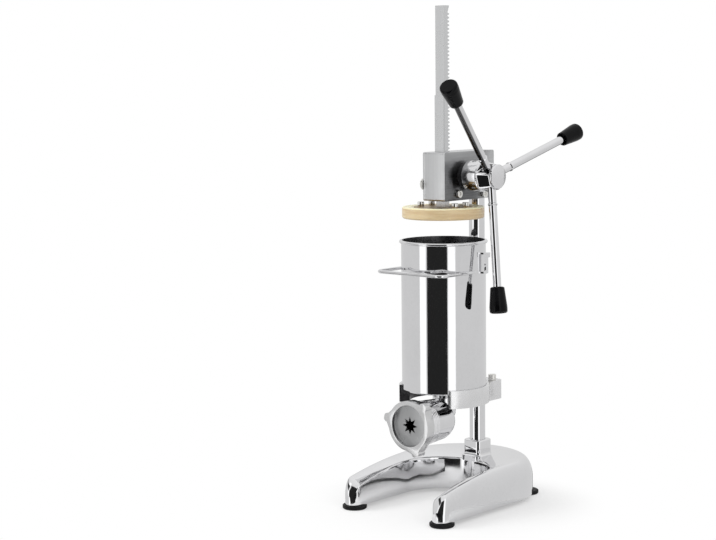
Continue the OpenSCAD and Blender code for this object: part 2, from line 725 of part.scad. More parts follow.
module hub_cap() color(polished) along_x(hub_cap_x, crank_axis_y, crank_axis_z)
    rotate_extrude($fn = 96) polygon([
        [0, 0], [hub_cap_d / 2, 0], [hub_cap_d / 2, hub_cap_t - 1],
        [hub_cap_d / 2 - 1, hub_cap_t], [0, hub_cap_t]]);

module hub_set_screw() color(black)
    translate([hub_set_screw_x, crank_axis_y, crank_axis_z]) rotate([crank_rest, 0, 0])
        translate([0, 0, shaft_d / 2]) difference() {
            cylinder(h = hub_d / 2 - shaft_d / 2 - 2, r = 3, $fn = 32);
            translate([0, 0, hub_d / 2 - shaft_d / 2 - 5]) cylinder(h = 5, r = 1.6, $fn = 6);
        }

module arm(k) color(polished) on_arm(k) {
    translate([0, 0, arm_root]) cylinder(h = arm_len - 12 - arm_root, d = arm_d, $fn = 64);
    translate([0, 0, arm_collar - 2]) rotate_extrude($fn = 64) polygon([
        [0, 0], [arm_d / 2, 0], [arm_d / 2 + 1, 1], [arm_d / 2 + 1, 3], [arm_d / 2, 4],
        [0, 4]]);
}
module arm_rear() arm(0);
module arm_forward() arm(1);
module arm_down() arm(2);

module grip(k) color(black) on_arm(k) translate([0, 0, arm_len - grip_len]) difference() {
    rotate_extrude($fn = 96) {
        polygon([
            [0, 0], [grip_neck_d / 2 - 1, 0], [grip_neck_d / 2, 1],
            [grip_d / 2, grip_len - 9], [grip_d / 2, grip_len - 3],
            [grip_d / 2 - 3, grip_len - 3], [grip_d / 2 - 3, grip_len], [0, grip_len]]);
        translate([grip_d / 2 - 3, grip_len - 3]) circle(r = 3, $fn = 48);
    }
    translate([0, 0, -1]) cylinder(h = grip_len - 11, r = arm_d / 2 + fit_gap, $fn = 64);
    translate([0, 0, -eps]) cylinder(h = 3, d1 = grip_neck_d - 3, d2 = arm_d, $fn = 64);
}
module grip_rear() grip(0);
module grip_forward() grip(1);
module grip_down() grip(2);

// ---------------------------------------------------------------- plunger

bolt_spots = [for (sx = [-1, 1], sy = [-1, 1]) [sx * bolt_x, sy * bolt_y]];
nut_recess_t = 8;

module plunger() color(cream) translate([0, 0, plunger_z]) difference() {
    rotate_extrude($fn = 128) polygon([
        [0, 0], [plunger_r - 2, 0], [plunger_r, 2], [plunger_r, plunger_h - plunger_shoulder],
        [plunger_r - plunger_shoulder, plunger_h], [plate_d / 2 + 4, plunger_h],
        [plate_d / 2 + fit_gap, plunger_h - 3], [plate_d / 2 + fit_gap, plunger_h - plate_t],
        [0, plunger_h - plate_t]]);
    translate([0, 0, -1]) cylinder(h = plunger_h, r = stud_d / 2 + fit_gap, $fn = 48);
    translate([0, 0, -1]) cylinder(h = nut_recess_t - 2, r = 13, $fn = 64);
    for (p = bolt_spots) translate([p[0], p[1], 3])
        cylinder(h = plunger_h, r = bolt_d / 2 + fit_gap, $fn = 32);
}

module plunger_plate() color(steel) translate([0, 0, plunger_top - plate_t]) difference() {
    cylinder(h = plate_t, d = plate_d, $fn = 128);
    translate([-rack_w / 2 - fit_gap, rack_front - fit_gap, -1])
        cube([rack_w + 2 * fit_gap, rack_d + 2 * fit_gap, plate_t + 2]);
    for (p = bolt_spots) translate([p[0], p[1], -1])
        cylinder(h = plate_t + 2, r = bolt_d / 2 + fit_gap, $fn = 32);
}

module plunger_bolts() color(zinc)
    for (p = bolt_spots) translate([p[0], p[1], plunger_top])
        cap_screw(bolt_d, plate_t + 5, bolt_head_d, bolt_head_h);

module rack_nut() color(zinc) translate([0, 0, plunger_z + 1]) difference() {
    cylinder(h = nut_recess_t - 4, r = 12, $fn = 6);
    translate([0, 0, -1]) cylinder(h = nut_recess_t, r = stud_d / 2 + fit_gap, $fn = 48);
}

// ---------------------------------------------------------------- barrel

module barrel() color(polished) translate([0, 0, barrel_z]) difference() {
    union() {
        rotate_extrude($fn = 128) polygon([
            [0, 0], [barrel_r - 2, 0], [barrel_r, 2], [barrel_r, barrel_h],
            [barrel_in_r, barrel_h], [barrel_in_r, floor_t + 3], [barrel_in_r - 3, floor_t],
            [0, floor_t]]);
        translate([0, 0, barrel_h - bead_d / 2]) rotate_extrude($fn = 128)
            translate([barrel_r + bead_d / 2 - barrel_wall, 0]) circle(d = bead_d, $fn = 32);
    }
    translate([0, 0, -1]) cylinder(h = floor_t + 2, r = neck_r - outlet_wall, $fn = 64);
}

handle_half = barrel_r - handle_wire / 2 + 1.5;
handle_world_z = barrel_top - handle_drop;
handle_weld_y = -sqrt(pow(barrel_r, 2) - pow(handle_half, 2)) + 6;

module wire_bend() rotate_extrude(angle = 90, $fn = 64)
    translate([handle_bend, 0]) circle(d = handle_wire, $fn = 32);

module barrel_handle() color(polished) translate([0, 0, handle_world_z]) difference() {
    union() {
        translate([-(handle_half - handle_bend), -handle_reach, 0]) rotate([0, 90, 0])
            cylinder(h = 2 * (handle_half - handle_bend), d = handle_wire, $fn = 32);
        for (sx = [0, 1]) mirror([sx, 0, 0]) {
            translate([handle_half - handle_bend, -handle_reach + handle_bend, 0])
                rotate(-90) wire_bend();
            translate([handle_half, -handle_reach + handle_bend, 0]) rotate([-90, 0, 0])
                cylinder(h = handle_reach - handle_bend + handle_weld_y, d = handle_wire,
                         $fn = 32);
        }
    }
    translate([0, 0, -handle_wire]) cylinder(h = 2 * handle_wire, r = barrel_r + fit_gap,
                                             $fn = 128);
}

keeper_angle = 14;
keeper_t = 2.5;
keeper_w = 9;
keeper_lip = 3;
keeper_lip_h = 7;
keeper_z = barrel_top - keeper_drop - keeper_h;

// Strap welded to the barrel at both ends, with a lip at its top
module barrel_keeper() color(polished) rotate(keeper_angle) translate([0, 0, keeper_z])
    difference() {
        union() {
            translate([barrel_r - 4, -keeper_w / 2, 0])
                cube([4 + keeper_gap + keeper_t, keeper_w, keeper_h]);
            translate([barrel_r, -keeper_w / 2, keeper_h - keeper_lip_h])
                cube([keeper_gap + keeper_t + keeper_lip, keeper_w, keeper_lip_h]);
        }
        translate([barrel_r - 5, -keeper_w / 2 - 1, keeper_t])
            cube([5 + keeper_gap, keeper_w + 2, keeper_h - 2 * keeper_t]);
        translate([0, 0, -1]) cylinder(h = keeper_h + 2, r = barrel_r + fit_gap, $fn = 128);
    }

// ---------------------------------------------------------------- outlet

module about_outlet() translate([0, 0, outlet_z]) rotate([90, 0, 0]) children();

// Body of the outlet: neck with a round end, ball at the bend, cone and mouth
module outlet_form(wall, top, front) {
    translate([0, 0, neck_end_z]) {
        sphere(r = neck_r - wall, $fn = 96);
        cylinder(h = top - neck_end_z, r = neck_r - wall, $fn = 96);
    }
    about_outlet() {
        translate([0, 0, ball_f]) sphere(r = ball_r - wall, $fn = 96);
        translate([0, 0, ball_f])
            cylinder(h = cone_f - ball_f, r1 = ball_r - wall, r2 = mouth_r - wall, $fn = 96);
        translate([0, 0, cone_f]) cylinder(h = front - cone_f, r = mouth_r - wall, $fn = 96);
    }
}

module outlet_elbow() color(polished) difference() {
    union() {
        outlet_form(0, barrel_z, mouth_front);
        translate([0, 0, barrel_z - outlet_flange_t])
            cylinder(h = outlet_flange_t, d = outlet_flange_d, $fn = 96);
    }
    outlet_form(outlet_wall, barrel_z + 1, mouth_front + 1);
}

module die_seal() color(black) about_outlet() translate([0, 0, mouth_front])
    ring(mouth_r - 0.5, mouth_r - outlet_wall, seal_t);

module star_outline() polygon([for (k = [0:2 * star_points - 1])
    polar((k % 2 == 0 ? star_d : star_root_d) / 2, 90 + 180 * k / star_points)]);

module die_plate() color(steel) about_outlet() translate([0, 0, die_back]) difference() {
    cylinder(h = die_t, r = mouth_r - 0.3, $fn = 96);
    translate([0, 0, -1]) linear_extrude(die_t + 2) star_outline();
}

// Ring with three blunt lugs, whose flanks run down into the ring
lug_angles = [48, 168, 288];
lug_spread = 50;
module nut_outline() {
    r = nut_d / 2;
    circle(r = r, $fn = 128);
    for (b = lug_angles) rotate(b) {
        translate([lug_reach / 2, 0]) rounded_rect(lug_reach, lug_w, lug_round);
        polygon([[0, 0], polar(r - 0.3, -lug_spread), [lug_reach - lug_round - 1, -lug_w / 2],
                 [lug_reach - lug_round - 1, lug_w / 2], polar(r - 0.3, lug_spread)]);
    }
}

module nozzle_nut() color(polished) about_outlet() difference() {
    translate([0, 0, nut_back]) linear_extrude(nut_len) nut_outline();
    translate([0, 0, nut_back - 1]) cylinder(h = nut_len + 2, r = nut_open_d / 2, $fn = 96);
    translate([0, 0, nut_back - 1])
        cylinder(h = nut_len - nut_lip + 1, r = nut_bore_r, $fn = 96);
}

// ---------------------------------------------------------------- output

base_casting();
foot_front_left();
foot_front_right();
foot_rear_left();
foot_rear_right();
foot_screws();
column();
column_base_screw();
barrel_bracket();
bracket_screws();
gear_housing();
housing_cover();
cover_screws();
housing_set_screws();
rack_guide();
guide_adjuster();
rack();
pinion();
pinion_shaft();
shaft_key();
shaft_bush_left();
shaft_bush_right();
handle_hub();
hub_cap();
hub_set_screw();
arm_forward();
arm_rear();
arm_down();
grip_forward();
grip_rear();
grip_down();
plunger();
plunger_plate();
plunger_bolts();
rack_nut();
barrel();
barrel_handle();
barrel_keeper();
outlet_elbow();
die_seal();
die_plate();
nozzle_nut();
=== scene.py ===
"""Dresses the packed table-top churro maker with its finishes and small pieces.

It is laid out as an add-on: each operator makes one piece or group of pieces,
and main() runs them all in order.
"""

import json
from math import atan2, cos, pi, radians, sin, sqrt
import bmesh
import bpy
from bpy.props import FloatProperty, FloatVectorProperty, PointerProperty
from mathutils import Matrix, Vector


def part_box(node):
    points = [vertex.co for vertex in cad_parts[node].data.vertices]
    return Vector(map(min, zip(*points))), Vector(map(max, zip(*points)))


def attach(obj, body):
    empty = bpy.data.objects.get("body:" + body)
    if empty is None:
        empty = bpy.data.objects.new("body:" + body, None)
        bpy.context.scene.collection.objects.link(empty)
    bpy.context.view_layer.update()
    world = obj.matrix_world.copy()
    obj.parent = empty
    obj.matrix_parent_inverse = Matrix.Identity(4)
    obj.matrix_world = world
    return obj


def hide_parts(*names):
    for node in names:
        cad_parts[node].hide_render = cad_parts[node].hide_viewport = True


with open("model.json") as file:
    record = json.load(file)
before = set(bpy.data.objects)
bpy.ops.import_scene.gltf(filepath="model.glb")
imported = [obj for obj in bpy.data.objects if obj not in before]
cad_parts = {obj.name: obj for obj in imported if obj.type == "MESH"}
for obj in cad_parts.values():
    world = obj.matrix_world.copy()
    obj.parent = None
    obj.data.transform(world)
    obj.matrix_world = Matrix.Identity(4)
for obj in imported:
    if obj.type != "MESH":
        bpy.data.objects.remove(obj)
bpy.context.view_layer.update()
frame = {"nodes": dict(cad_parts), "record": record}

bl_info = {
    "name": "Churro maker dressing",
    "version": (1, 0, 0),
    "blender": (4, 5, 0),
    "location": "3D View > Sidebar > Churro maker",
    "description": "Finishes and small pieces for a hand-cranked churro maker",
    "category": "Object",
}

NODES = frame["nodes"]
RECORD = frame["record"]
BODY_OF = {n: b for b, ns in RECORD["behaviour"]["bodies"].items() for n in ns}
SLOT_OF = {s["node"]: s["material_slot"] for s in RECORD["subparts"]}


# ---------------------------------------------------------------- settings

def colour(name, thing, value):
    return FloatVectorProperty(name=name, description="Colour of the " + thing,
                               default=value, subtype="COLOR", size=3, min=0.0, max=1.0)


def length(name, description, value, low=0.0, high=1.0):
    return FloatProperty(name=name, description=description, default=value,
                         min=low, max=high, unit="LENGTH", precision=4)


def number(name, description, value, high, unit="NONE"):
    return FloatProperty(name=name, description=description, default=value,
                         min=0.0, max=high, unit=unit)


class ChurroFinishes(bpy.types.PropertyGroup):
    """Colours and roughness of the finishes"""
    steel: colour("Polished steel", "barrel and the outlet", (0.78, 0.78, 0.79))
    casting: colour("Polished casting", "horseshoe base", (0.80, 0.80, 0.81))
    satin: colour("Satin steel", "rack and the small steel pieces", (0.60, 0.605, 0.61))
    housing: colour("Housing", "ground gear housing", (0.66, 0.665, 0.67))
    # Colours of the housing's side: painted shade round the collar and painted light toward
    # its edges
    side_painted_shade: colour("Side, dark", "housing's side at its darkest", (0.13, 0.132, 0.136))
    side_painted_light: colour("Side, light", "housing's side at its edges", (0.62, 0.625, 0.63))
    bracket: colour("Bracket", "barrel bracket", (0.80, 0.80, 0.805))
    zinc: colour("Zinc", "screws", (0.80, 0.79, 0.76))
    nylon: colour("Plunger", "turned plastic plunger", (0.69, 0.55, 0.33))
    plate: colour("Plunger plate", "plate set into the plunger", (0.36, 0.24, 0.10))
    grip: colour("Grips", "hand grips", (0.0022, 0.0022, 0.0025))
    rubber: colour("Rubber", "feet and the seal", (0.005, 0.005, 0.0055))
    # Dark colour for the painted shade inside the bracket, the outlet and the barrel, and for
    # the painted dark reflection on the hub's flats
    inside: colour("Inside", "bracket's and the outlet's inner walls", (0.06, 0.06, 0.062))
    bronze: colour("Bronze", "inner bush", (0.58, 0.39, 0.19))
    mirror: number("Mirror roughness", "Roughness of the mirror polish", 0.04, 0.5)


class ChurroEdges(bpy.types.PropertyGroup):
    """Widths of the rounded edges"""
    plate: length("Plate edge", "Rounding of the gear housing's edges", 0.0009)
    casting: length("Casting edge", "Rounding of the bracket's edges", 0.0014)
    small: length("Small edge", "Rounding of small turned pieces", 0.0004)
    nut: length("Nut edge", "Rounding of the nozzle nut's edges", 0.0006)
    hub: length("Hub edge", "Rounding of the hub's flats", 0.0008)
    # Width of the hub's polish kept as a border round the painted dark reflection on its
    # forward flats
    window: length("Blacked flat", "Bright edge round the hub's blacked flat", 0.0024)
    plunger: length("Plunger rim", "Rounding of the plunger's rim", 0.0008)


class ChurroBase(bpy.types.PropertyGroup):
    """Sizes of the horseshoe casting"""
    width: length("Width", "Overall width of the casting", 0.197)
    arch: length("Arch", "Clear width between the prongs", 0.139)
    reach: length("Reach", "Distance forward to the prong tips", 0.112)
    tail: length("Tail", "Distance from the column back to the rear edge", 0.076)
    crest: length("Crest", "Height of the crest above the underside", 0.059)
    fall_radius: length("Fall radius", "Arc along which the crest falls", 0.6)
    fall_start: length("Fall start", "How far in front of the column it starts", 0.052)
    nose: length("Nose", "Height of the blunt nose", 0.015)
    inner_drop: length("Inner drop", "How much lower the inner edge lies", 0.008)
    inner_round: length("Inner rounding", "Rounding of the inner edge", 0.005)
    outer_round: length("Outer rounding", "Width of the outer rounding", 0.026)
    outer_high: length("Outer rounding height", "Height of the outer rounding", 0.034)
    wall: length("Wall", "Wall thickness of the hollow casting", 0.005)
    draft: length("Draft", "Slope of the inner wall", 0.0015)
    foot: length("Foot", "Height of the feet", 0.006)
    column_y: length("Column", "Distance back to the column's axis", 0.0823)
    column_width: length("Column width", "Diameter of the column", 0.024)
    boss: length("Boss", "Width of the column boss", 0.033)
    boss_round: length("Boss corner", "Corner radius of the boss", 0.007)
    boss_height: length("Boss height", "Height of the boss above the crest", 0.0205)
    flare: length("Flare", "Width of the fillet round the foot of the boss", 0.0035)
    post: length("Foot post", "Radius of the posts inside over the rear feet", 0.006)
    post_side: length("Post side", "Distance of those posts to either side", 0.062)
    post_back: length("Post back", "Distance of those posts behind the column", 0.042)


class ChurroThread(bpy.types.PropertyGroup):
    """Thread on the outlet's mouth"""
    pitch: length("Pitch", "Distance between two turns", 0.0034)
    depth: length("Depth", "Height of the thread's ridge", 0.0008)
    start: length("Start", "Where the thread starts, forward of the barrel axis", 0.0475)
    end: length("End", "Where the thread ends, at the nut", 0.0690)
    radius: length("Radius", "Radius of the plain mouth", 0.0325)
    axis_height: length("Axis height", "Height of the outlet's axis", 0.1315)
    ball_forward: length("Ball", "Distance of the ball's centre forward", 0.0245)
    ball_inside: length("Ball inside", "Just over the ball's inner radius", 0.0290)
    mouth_inside: length("Mouth inside", "Just over the mouth's inner radius", 0.0300)
    neck_inside: length("Neck inside", "Just over the neck's inner radius", 0.0150)


class ChurroStudio(bpy.types.PropertyGroup):
    """Light, floor and surroundings"""
    floor_radius: length("Floor radius", "Radius of the pale floor", 1.3, 0.3, 5.0)
    floor: colour("Floor", "Colour of the floor", (0.97, 0.97, 0.97))
    ambient: number("Ambient", "Plain light from all round", 0.62, 2.0)
    key: number("Key", "Power of the large soft lamp", 34.0, 500.0, "POWER")
    fill: number("Fill", "Power of the fill lamp", 10.0, 500.0, "POWER")


def settings(context, name):
    return getattr(context.scene, "churro_" + name)


# ---------------------------------------------------------------- shader groups

def group(name, inputs, outputs):
    """Empty node group with named sockets; inputs are (name, kind, default)."""
    tree = bpy.data.node_groups.new(name, "ShaderNodeTree")
    for label, kind, value in inputs:
        socket = tree.interface.new_socket(name=label, in_out="INPUT",
                                           socket_type="NodeSocket" + kind)
        if value is not None:
            socket.default_value = value
    for label, kind in outputs:
        tree.interface.new_socket(name=label, in_out="OUTPUT",
                                  socket_type="NodeSocket" + kind)
    return tree, tree.nodes.new("NodeGroupInput"), tree.nodes.new("NodeGroupOutput")


def feed(tree, value, socket):
    """Links an output to a socket, or writes a plain value into it."""
    if isinstance(value, bpy.types.NodeSocket):
        tree.links.new(value, socket)
    else:
        socket.default_value = value


def operate(tree, kind, operation, a, b):
    node = tree.nodes.new(kind)
    node.operation = operation
    feed(tree, a, node.inputs[0])
    if b is not None:
        feed(tree, b, node.inputs[1])
    return node


def math_node(tree, operation, a, b=None, clamp=False):
    node = operate(tree, "ShaderNodeMath", operation, a, b)
    node.use_clamp = clamp
    return node.outputs[0]


def vector_node(tree, operation, a, b=None, output="Vector"):
    return operate(tree, "ShaderNodeVectorMath", operation, a, b).outputs[output]


def blend(tree, factor, a, b):
    node = tree.nodes.new("ShaderNodeMix")
    for label, value in (("Factor", factor), ("A", a), ("B", b)):
        feed(tree, value, node.inputs[label])
    return node.outputs["Result"]


def noise(tree, vector, scale, detail=3.0, roughness=0.55):
    node = tree.nodes.new("ShaderNodeTexNoise")
    node.inputs["Detail"].default_value = detail
    node.inputs["Roughness"].default_value = roughness
    feed(tree, vector, node.inputs["Vector"])
    feed(tree, scale, node.inputs["Scale"])
    return node.outputs["Fac"]


def map_range(tree, value, low, high, to_low, to_high, smooth=False):
    node = tree.nodes.new("ShaderNodeMapRange")
    if smooth:
        node.interpolation_type = "SMOOTHSTEP"
    for label, item in (("Value", value), ("From Min", low), ("From Max", high),
                        ("To Min", to_low), ("To Max", to_high)):
        feed(tree, item, node.inputs[label])
    return node.outputs[0]


def grain_group():
    """Drawn-out grain left by a belt or a wheel"""
    tree, source, result = group("Drawn grain", [
        ("Vector", "Vector", None), ("Stretch", "Vector", (1.0, 1.0, 1.0)),
        ("Scale", "Float", 40.0)], [("Height", "Float"), ("Mask", "Float")])
    drawn = vector_node(tree, "MULTIPLY", source.outputs["Vector"], source.outputs["Stretch"])
    value = noise(tree, drawn, source.outputs["Scale"], 2.0, 0.5)
    tree.links.new(value, result.inputs["Height"])
    tree.links.new(map_range(tree, value, 0.35, 0.65, 0.0, 1.0, True), result.inputs["Mask"])
    return tree


def marks_group():
    """Faint handling marks: roughness that wanders between two values"""
    tree, source, result = group("Handling marks", [
        ("Vector", "Vector", None), ("Scale", "Float", 18.0),
        ("Low", "Float", 0.05), ("High", "Float", 0.12)],
        [("Roughness", "Float"), ("Mask", "Float")])
    broad = noise(tree, source.outputs["Vector"], source.outputs["Scale"], 4.0, 0.6)
    fine = noise(tree, source.outputs["Vector"], 260.0, 2.0, 0.5)
    both = math_node(tree, "ADD", math_node(tree, "MULTIPLY", broad, 0.75),
                     math_node(tree, "MULTIPLY", fine, 0.25))
    mask = map_range(tree, both, 0.38, 0.66, 0.0, 1.0, True)
    tree.links.new(mask, result.inputs["Mask"])
    tree.links.new(map_range(tree, mask, 0.0, 1.0, source.outputs["Low"],
                             source.outputs["High"]), result.inputs["Roughness"])
    return tree


def rings_group():
    """Turning rings round an axis, as a lathe leaves them"""
    tree, source, result = group("Turning rings", [
        ("Vector", "Vector", None), ("Centre", "Vector", (0.0, 0.0, 0.0)),
        ("Across", "Vector", (1.0, 1.0, 0.0)), ("Pitch", "Float", 0.0008)],
        [("Height", "Float")])
    shift = vector_node(tree, "SUBTRACT", source.outputs["Vector"], source.outputs["Centre"])
    flat = vector_node(tree, "MULTIPLY", shift, source.outputs["Across"])
    far = vector_node(tree, "LENGTH", flat, output="Value")
    turns = math_node(tree, "DIVIDE", far, source.outputs["Pitch"])
    wave = math_node(tree, "SINE", math_node(tree, "MULTIPLY", turns, 2.0 * pi))
    # The third input of a new node is 0.5, so the wave runs from 0 to 1
    tree.links.new(math_node(tree, "MULTIPLY_ADD", wave, 0.5), result.inputs["Height"])
    return tree


def facing_group():
    """How far a surface looks upward"""
    tree, source, result = group("Facing up", [
        ("Low", "Float", 0.0), ("High", "Float", 1.0)], [("Mask", "Float")])
    parts = tree.nodes.new("ShaderNodeSeparateXYZ")
    tree.links.new(tree.nodes.new("ShaderNodeNewGeometry").outputs["Normal"], parts.inputs[0])
    tree.links.new(map_range(tree, parts.outputs["Z"], source.outputs["Low"],
                             source.outputs["High"], 0.0, 1.0, True), result.inputs["Mask"])
    return tree


def dust_group():
    """Dust that settles near the ground and in patches"""
    tree, source, result = group("Settled dust", [
        ("Vector", "Vector", None), ("Top", "Float", 0.02), ("Amount", "Float", 0.5)],
        [("Mask", "Float")])
    parts = tree.nodes.new("ShaderNodeSeparateXYZ")
    tree.links.new(source.outputs["Vector"], parts.inputs[0])
    height = map_range(tree, parts.outputs["Z"], 0.0, source.outputs["Top"], 1.0, 0.0)
    patch = map_range(tree, noise(tree, source.outputs["Vector"], 160.0, 4.0), 0.42, 0.68,
                      0.0, 1.0, True)
    both = math_node(tree, "MULTIPLY", math_node(tree, "MULTIPLY", height, patch),
                     source.outputs["Amount"], True)
    tree.links.new(both, result.inputs["Mask"])
    return tree


def place_group(tree, name, maker, vector, **values):
    """Puts a shared group into a finish, and makes it when it is first asked for."""
    node = tree.nodes.new("ShaderNodeGroup")
    node.node_tree = bpy.data.node_groups.get(name) or maker()
    if vector is not None:
        tree.links.new(vector, node.inputs["Vector"])
    for label, value in values.items():
        node.inputs[label].default_value = value
    return node


# ---------------------------------------------------------------- finishes

# Heights of a grain and of turning rings
GRAIN_HIGH, RINGS_HIGH = 0.0002, 0.0001


class Finish:
    """A material being built: a Principled shader and the piece's own coordinates"""

    def __init__(self, name, colour, metallic, roughness):
        self.material = bpy.data.materials.new(name)
        self.material.use_nodes = True
        self.tree = self.material.node_tree
        self.shader = self.tree.nodes["Principled BSDF"]
        self.material.diffuse_color = (*colour, 1.0)
        self.shader.inputs["Base Color"].default_value = (*colour, 1.0)
        self.shader.inputs["Metallic"].default_value = metallic
        self.shader.inputs["Roughness"].default_value = roughness
        self.place = self.tree.nodes.new("ShaderNodeTexCoord").outputs["Object"]
        self.normal = None

    def link(self, output, label):
        self.tree.links.new(output, self.shader.inputs[label])

    def marks(self, low, high, scale):
        """Roughness that wanders from low to high"""
        node = place_group(self.tree, "Handling marks", marks_group, self.place,
                           Low=low, High=high, Scale=scale)
        self.link(node.outputs["Roughness"], "Roughness")
        return node.outputs["Mask"]

    def grain(self, stretch, scale, strength):
        node = place_group(self.tree, "Drawn grain", grain_group, self.place,
                           Stretch=stretch, Scale=scale)
        self.bump(node.outputs["Height"], strength, GRAIN_HIGH)
        return node.outputs["Mask"]

    def upward(self, low, high):
        """Mask that goes from 0 to 1 as the surface turns upward"""
        node = place_group(self.tree, "Facing up", facing_group, None, Low=low, High=high)
        return node.outputs["Mask"]

    def rings(self, centre, across, pitch, strength):
        node = place_group(self.tree, "Turning rings", rings_group, self.place,
                           Centre=centre, Across=across, Pitch=pitch)
        self.bump(node.outputs["Height"], strength, RINGS_HIGH)

    def bump(self, height, strength, distance):
        """Adds a relief on top of those before it"""
        node = self.tree.nodes.new("ShaderNodeBump")
        node.inputs["Strength"].default_value = strength
        node.inputs["Distance"].default_value = distance
        self.tree.links.new(height, node.inputs["Height"])
        if self.normal is not None:
            self.tree.links.new(self.normal, node.inputs["Normal"])
        self.normal = node.outputs["Normal"]
        self.link(self.normal, "Normal")

    def tint(self, mask, first, second):
        """Blends two colours, or what an earlier tint gave, by a mask"""
        mix = self.tree.nodes.new("ShaderNodeMix")
        mix.data_type = "RGBA"
        for label, value in (("A", first), ("B", second)):
            socket = next(i for i in mix.inputs if i.name == label and i.type == "RGBA")
            plain = not isinstance(value, bpy.types.NodeSocket)
            feed(self.tree, (*value, 1.0) if plain else value, socket)
        self.tree.links.new(mask, mix.inputs["Factor"])
        result = next(o for o in mix.outputs if o.type == "RGBA")
        self.link(result, "Base Color")
        return result


def scaled(colour, factor):
    return tuple(min(1.0, c * factor) for c in colour)


# Upward parts of the normal where an underside turns into a side, and a side into a top;
# painted shade darkens the undersides of chromed steel between the first pair, and a painted
# highlight lightens the plunger's rim between the second
SHADE_UNDERSIDE = (-0.63, -0.50)
HIGHLIGHT_TOPSIDE = (0.25, 0.8)


def polished_finish(name, colour, mirror, wave, wave_scale, shade_under=None):
    """Mirror polish over a surface that still waves a little, with painted shade where it
    looks down
    """
    finish = Finish(name, colour, 1.0, mirror)
    mask = finish.marks(mirror * 0.7, mirror * 2.1, 14.0)
    skin = finish.tint(mask, colour, scaled(colour, 0.955))
    # Painted shade: the colour darkens where the surface looks down
    if shade_under is not None:
        finish.tint(finish.upward(*SHADE_UNDERSIDE), scaled(colour, shade_under), skin)
    finish.bump(noise(finish.tree, finish.place, wave_scale, 2.0), wave, 0.004)
    finish.grain((1.0, 1.0, 0.06), 900.0, 0.02)
    return finish.material


def satin_finish(name, colour, rough, grain, depth, stretch):
    """Ground, brushed or tumbled metal, with its grain drawn out where it is stretched"""
    finish = Finish(name, colour, 1.0, rough[0])
    finish.marks(*rough, 30.0)
    mask = finish.grain(stretch, grain, depth)
    finish.tint(mask, scaled(colour, 0.975), scaled(colour, 1.02))
    return finish.material


# How the plunger's rim, a painted highlight on its upward faces, and the streaks round its
# side differ from its colour
RIM_HIGHLIGHT, STREAKS_BROWNER = (1.36, 1.58, 1.70), (0.93, 0.86, 0.80)


def turned_plastic(name, colour):
    """Turned plastic: lathe rings, drawn streaks round the side, a soft sheen and a painted
    highlight on the faces that look up
    """
    finish = Finish(name, colour, 0.0, 0.38)
    shader = finish.shader.inputs
    shader["Subsurface Weight"].default_value = 0.12
    shader["Subsurface Radius"].default_value = (0.004, 0.003, 0.0015)
    shader["Coat Weight"].default_value = 0.25
    shader["Coat Roughness"].default_value = 0.22
    rim = tuple(min(1.0, c * f) for c, f in zip(colour, RIM_HIGHLIGHT))
    streaks = place_group(finish.tree, "Drawn grain", grain_group, finish.place,
                          Stretch=(0.06, 0.06, 1.0), Scale=420.0)
    brown = tuple(c * f for c, f in zip(colour, STREAKS_BROWNER))
    side = finish.tint(streaks.outputs["Mask"], scaled(colour, 1.06), brown)
    # Painted highlight: the faces that look up, the rim, turn paler
    finish.tint(finish.upward(*HIGHLIGHT_TOPSIDE), side, rim)
    finish.marks(0.30, 0.46, 24.0)
    finish.rings((0.0, 0.0, 0.0), (1.0, 1.0, 0.0), 0.0009, 0.25)
    finish.bump(streaks.outputs["Height"], 0.12, GRAIN_HIGH)
    return finish.material


def turned_face(name, colour, centre):
    """Faced steel with the rings of the lathe round its centre"""
    finish = Finish(name, colour, 1.0, 0.3)
    mask = finish.marks(0.26, 0.36, 30.0)
    finish.tint(mask, scaled(colour, 0.96), scaled(colour, 1.03))
    finish.rings(centre, (1.0, 0.0, 1.0), 0.0012, 0.12)
    return finish.material


def gloss_plastic(name, colour, rough, level, coat):
    """Moulded gloss plastic under a thin clear coat"""
    finish = Finish(name, colour, 0.0, rough[0])
    finish.shader.inputs["Specular IOR Level"].default_value = level
    finish.shader.inputs["Coat Weight"].default_value = coat
    finish.shader.inputs["Coat Roughness"].default_value = 0.05
    mask = finish.marks(*rough, 45.0)
    finish.tint(mask, colour, scaled(colour, 2.2))
    finish.bump(noise(finish.tree, finish.place, 900.0, 2.0), 0.05, GRAIN_HIGH)
    return finish.material


# The housing's ground side, with painted shade round the collar and painted light toward its
# edges: where along Y the painted light at the rear comes in and the painted light of its
# front lip fades, height of the band of painted light at its top, and how light lip, band and
# grind streaks are
SIDE_TURN = (0.045, 0.100)
SIDE_LIP = (-0.022, 0.0)
SIDE_BAND = 0.035
LIP_PAINTED_LIGHT, BAND_PAINTED_LIGHT, STREAK_LIGHT = 0.24, 0.55, 0.07


def ground_side_painted_shade_and_light(name, dark, light, box):
    """Ground plate with painted shade round the collar and painted light toward its edges"""
    finish = Finish(name, dark, 1.0, 0.34)
    tree = finish.tree
    finish.marks(0.28, 0.42, 30.0)
    parts = tree.nodes.new("ShaderNodeSeparateXYZ")
    tree.links.new(finish.place, parts.inputs[0])
    streaks = finish.grain((1.0, 0.05, 1.0), 500.0, 0.10)
    top = box[1][2]
    # Painted light at the rear, at the front lip and in a band along the top, over painted
    # shade round the collar; the faint streaks are the grind's own tone
    rear = map_range(tree, parts.outputs["Y"], *SIDE_TURN, 0.0, 1.0, True)
    lip = map_range(tree, parts.outputs["Y"], *SIDE_LIP, LIP_PAINTED_LIGHT, 0.0, True)
    band = map_range(tree, parts.outputs["Z"], top - SIDE_BAND, top, 0.0, BAND_PAINTED_LIGHT, True)
    both = math_node(tree, "MAXIMUM", math_node(tree, "MAXIMUM", rear, lip), band)
    faint = math_node(tree, "MULTIPLY", streaks, STREAK_LIGHT)
    finish.tint(math_node(tree, "ADD", both, faint, True), dark, light)
    return finish.material


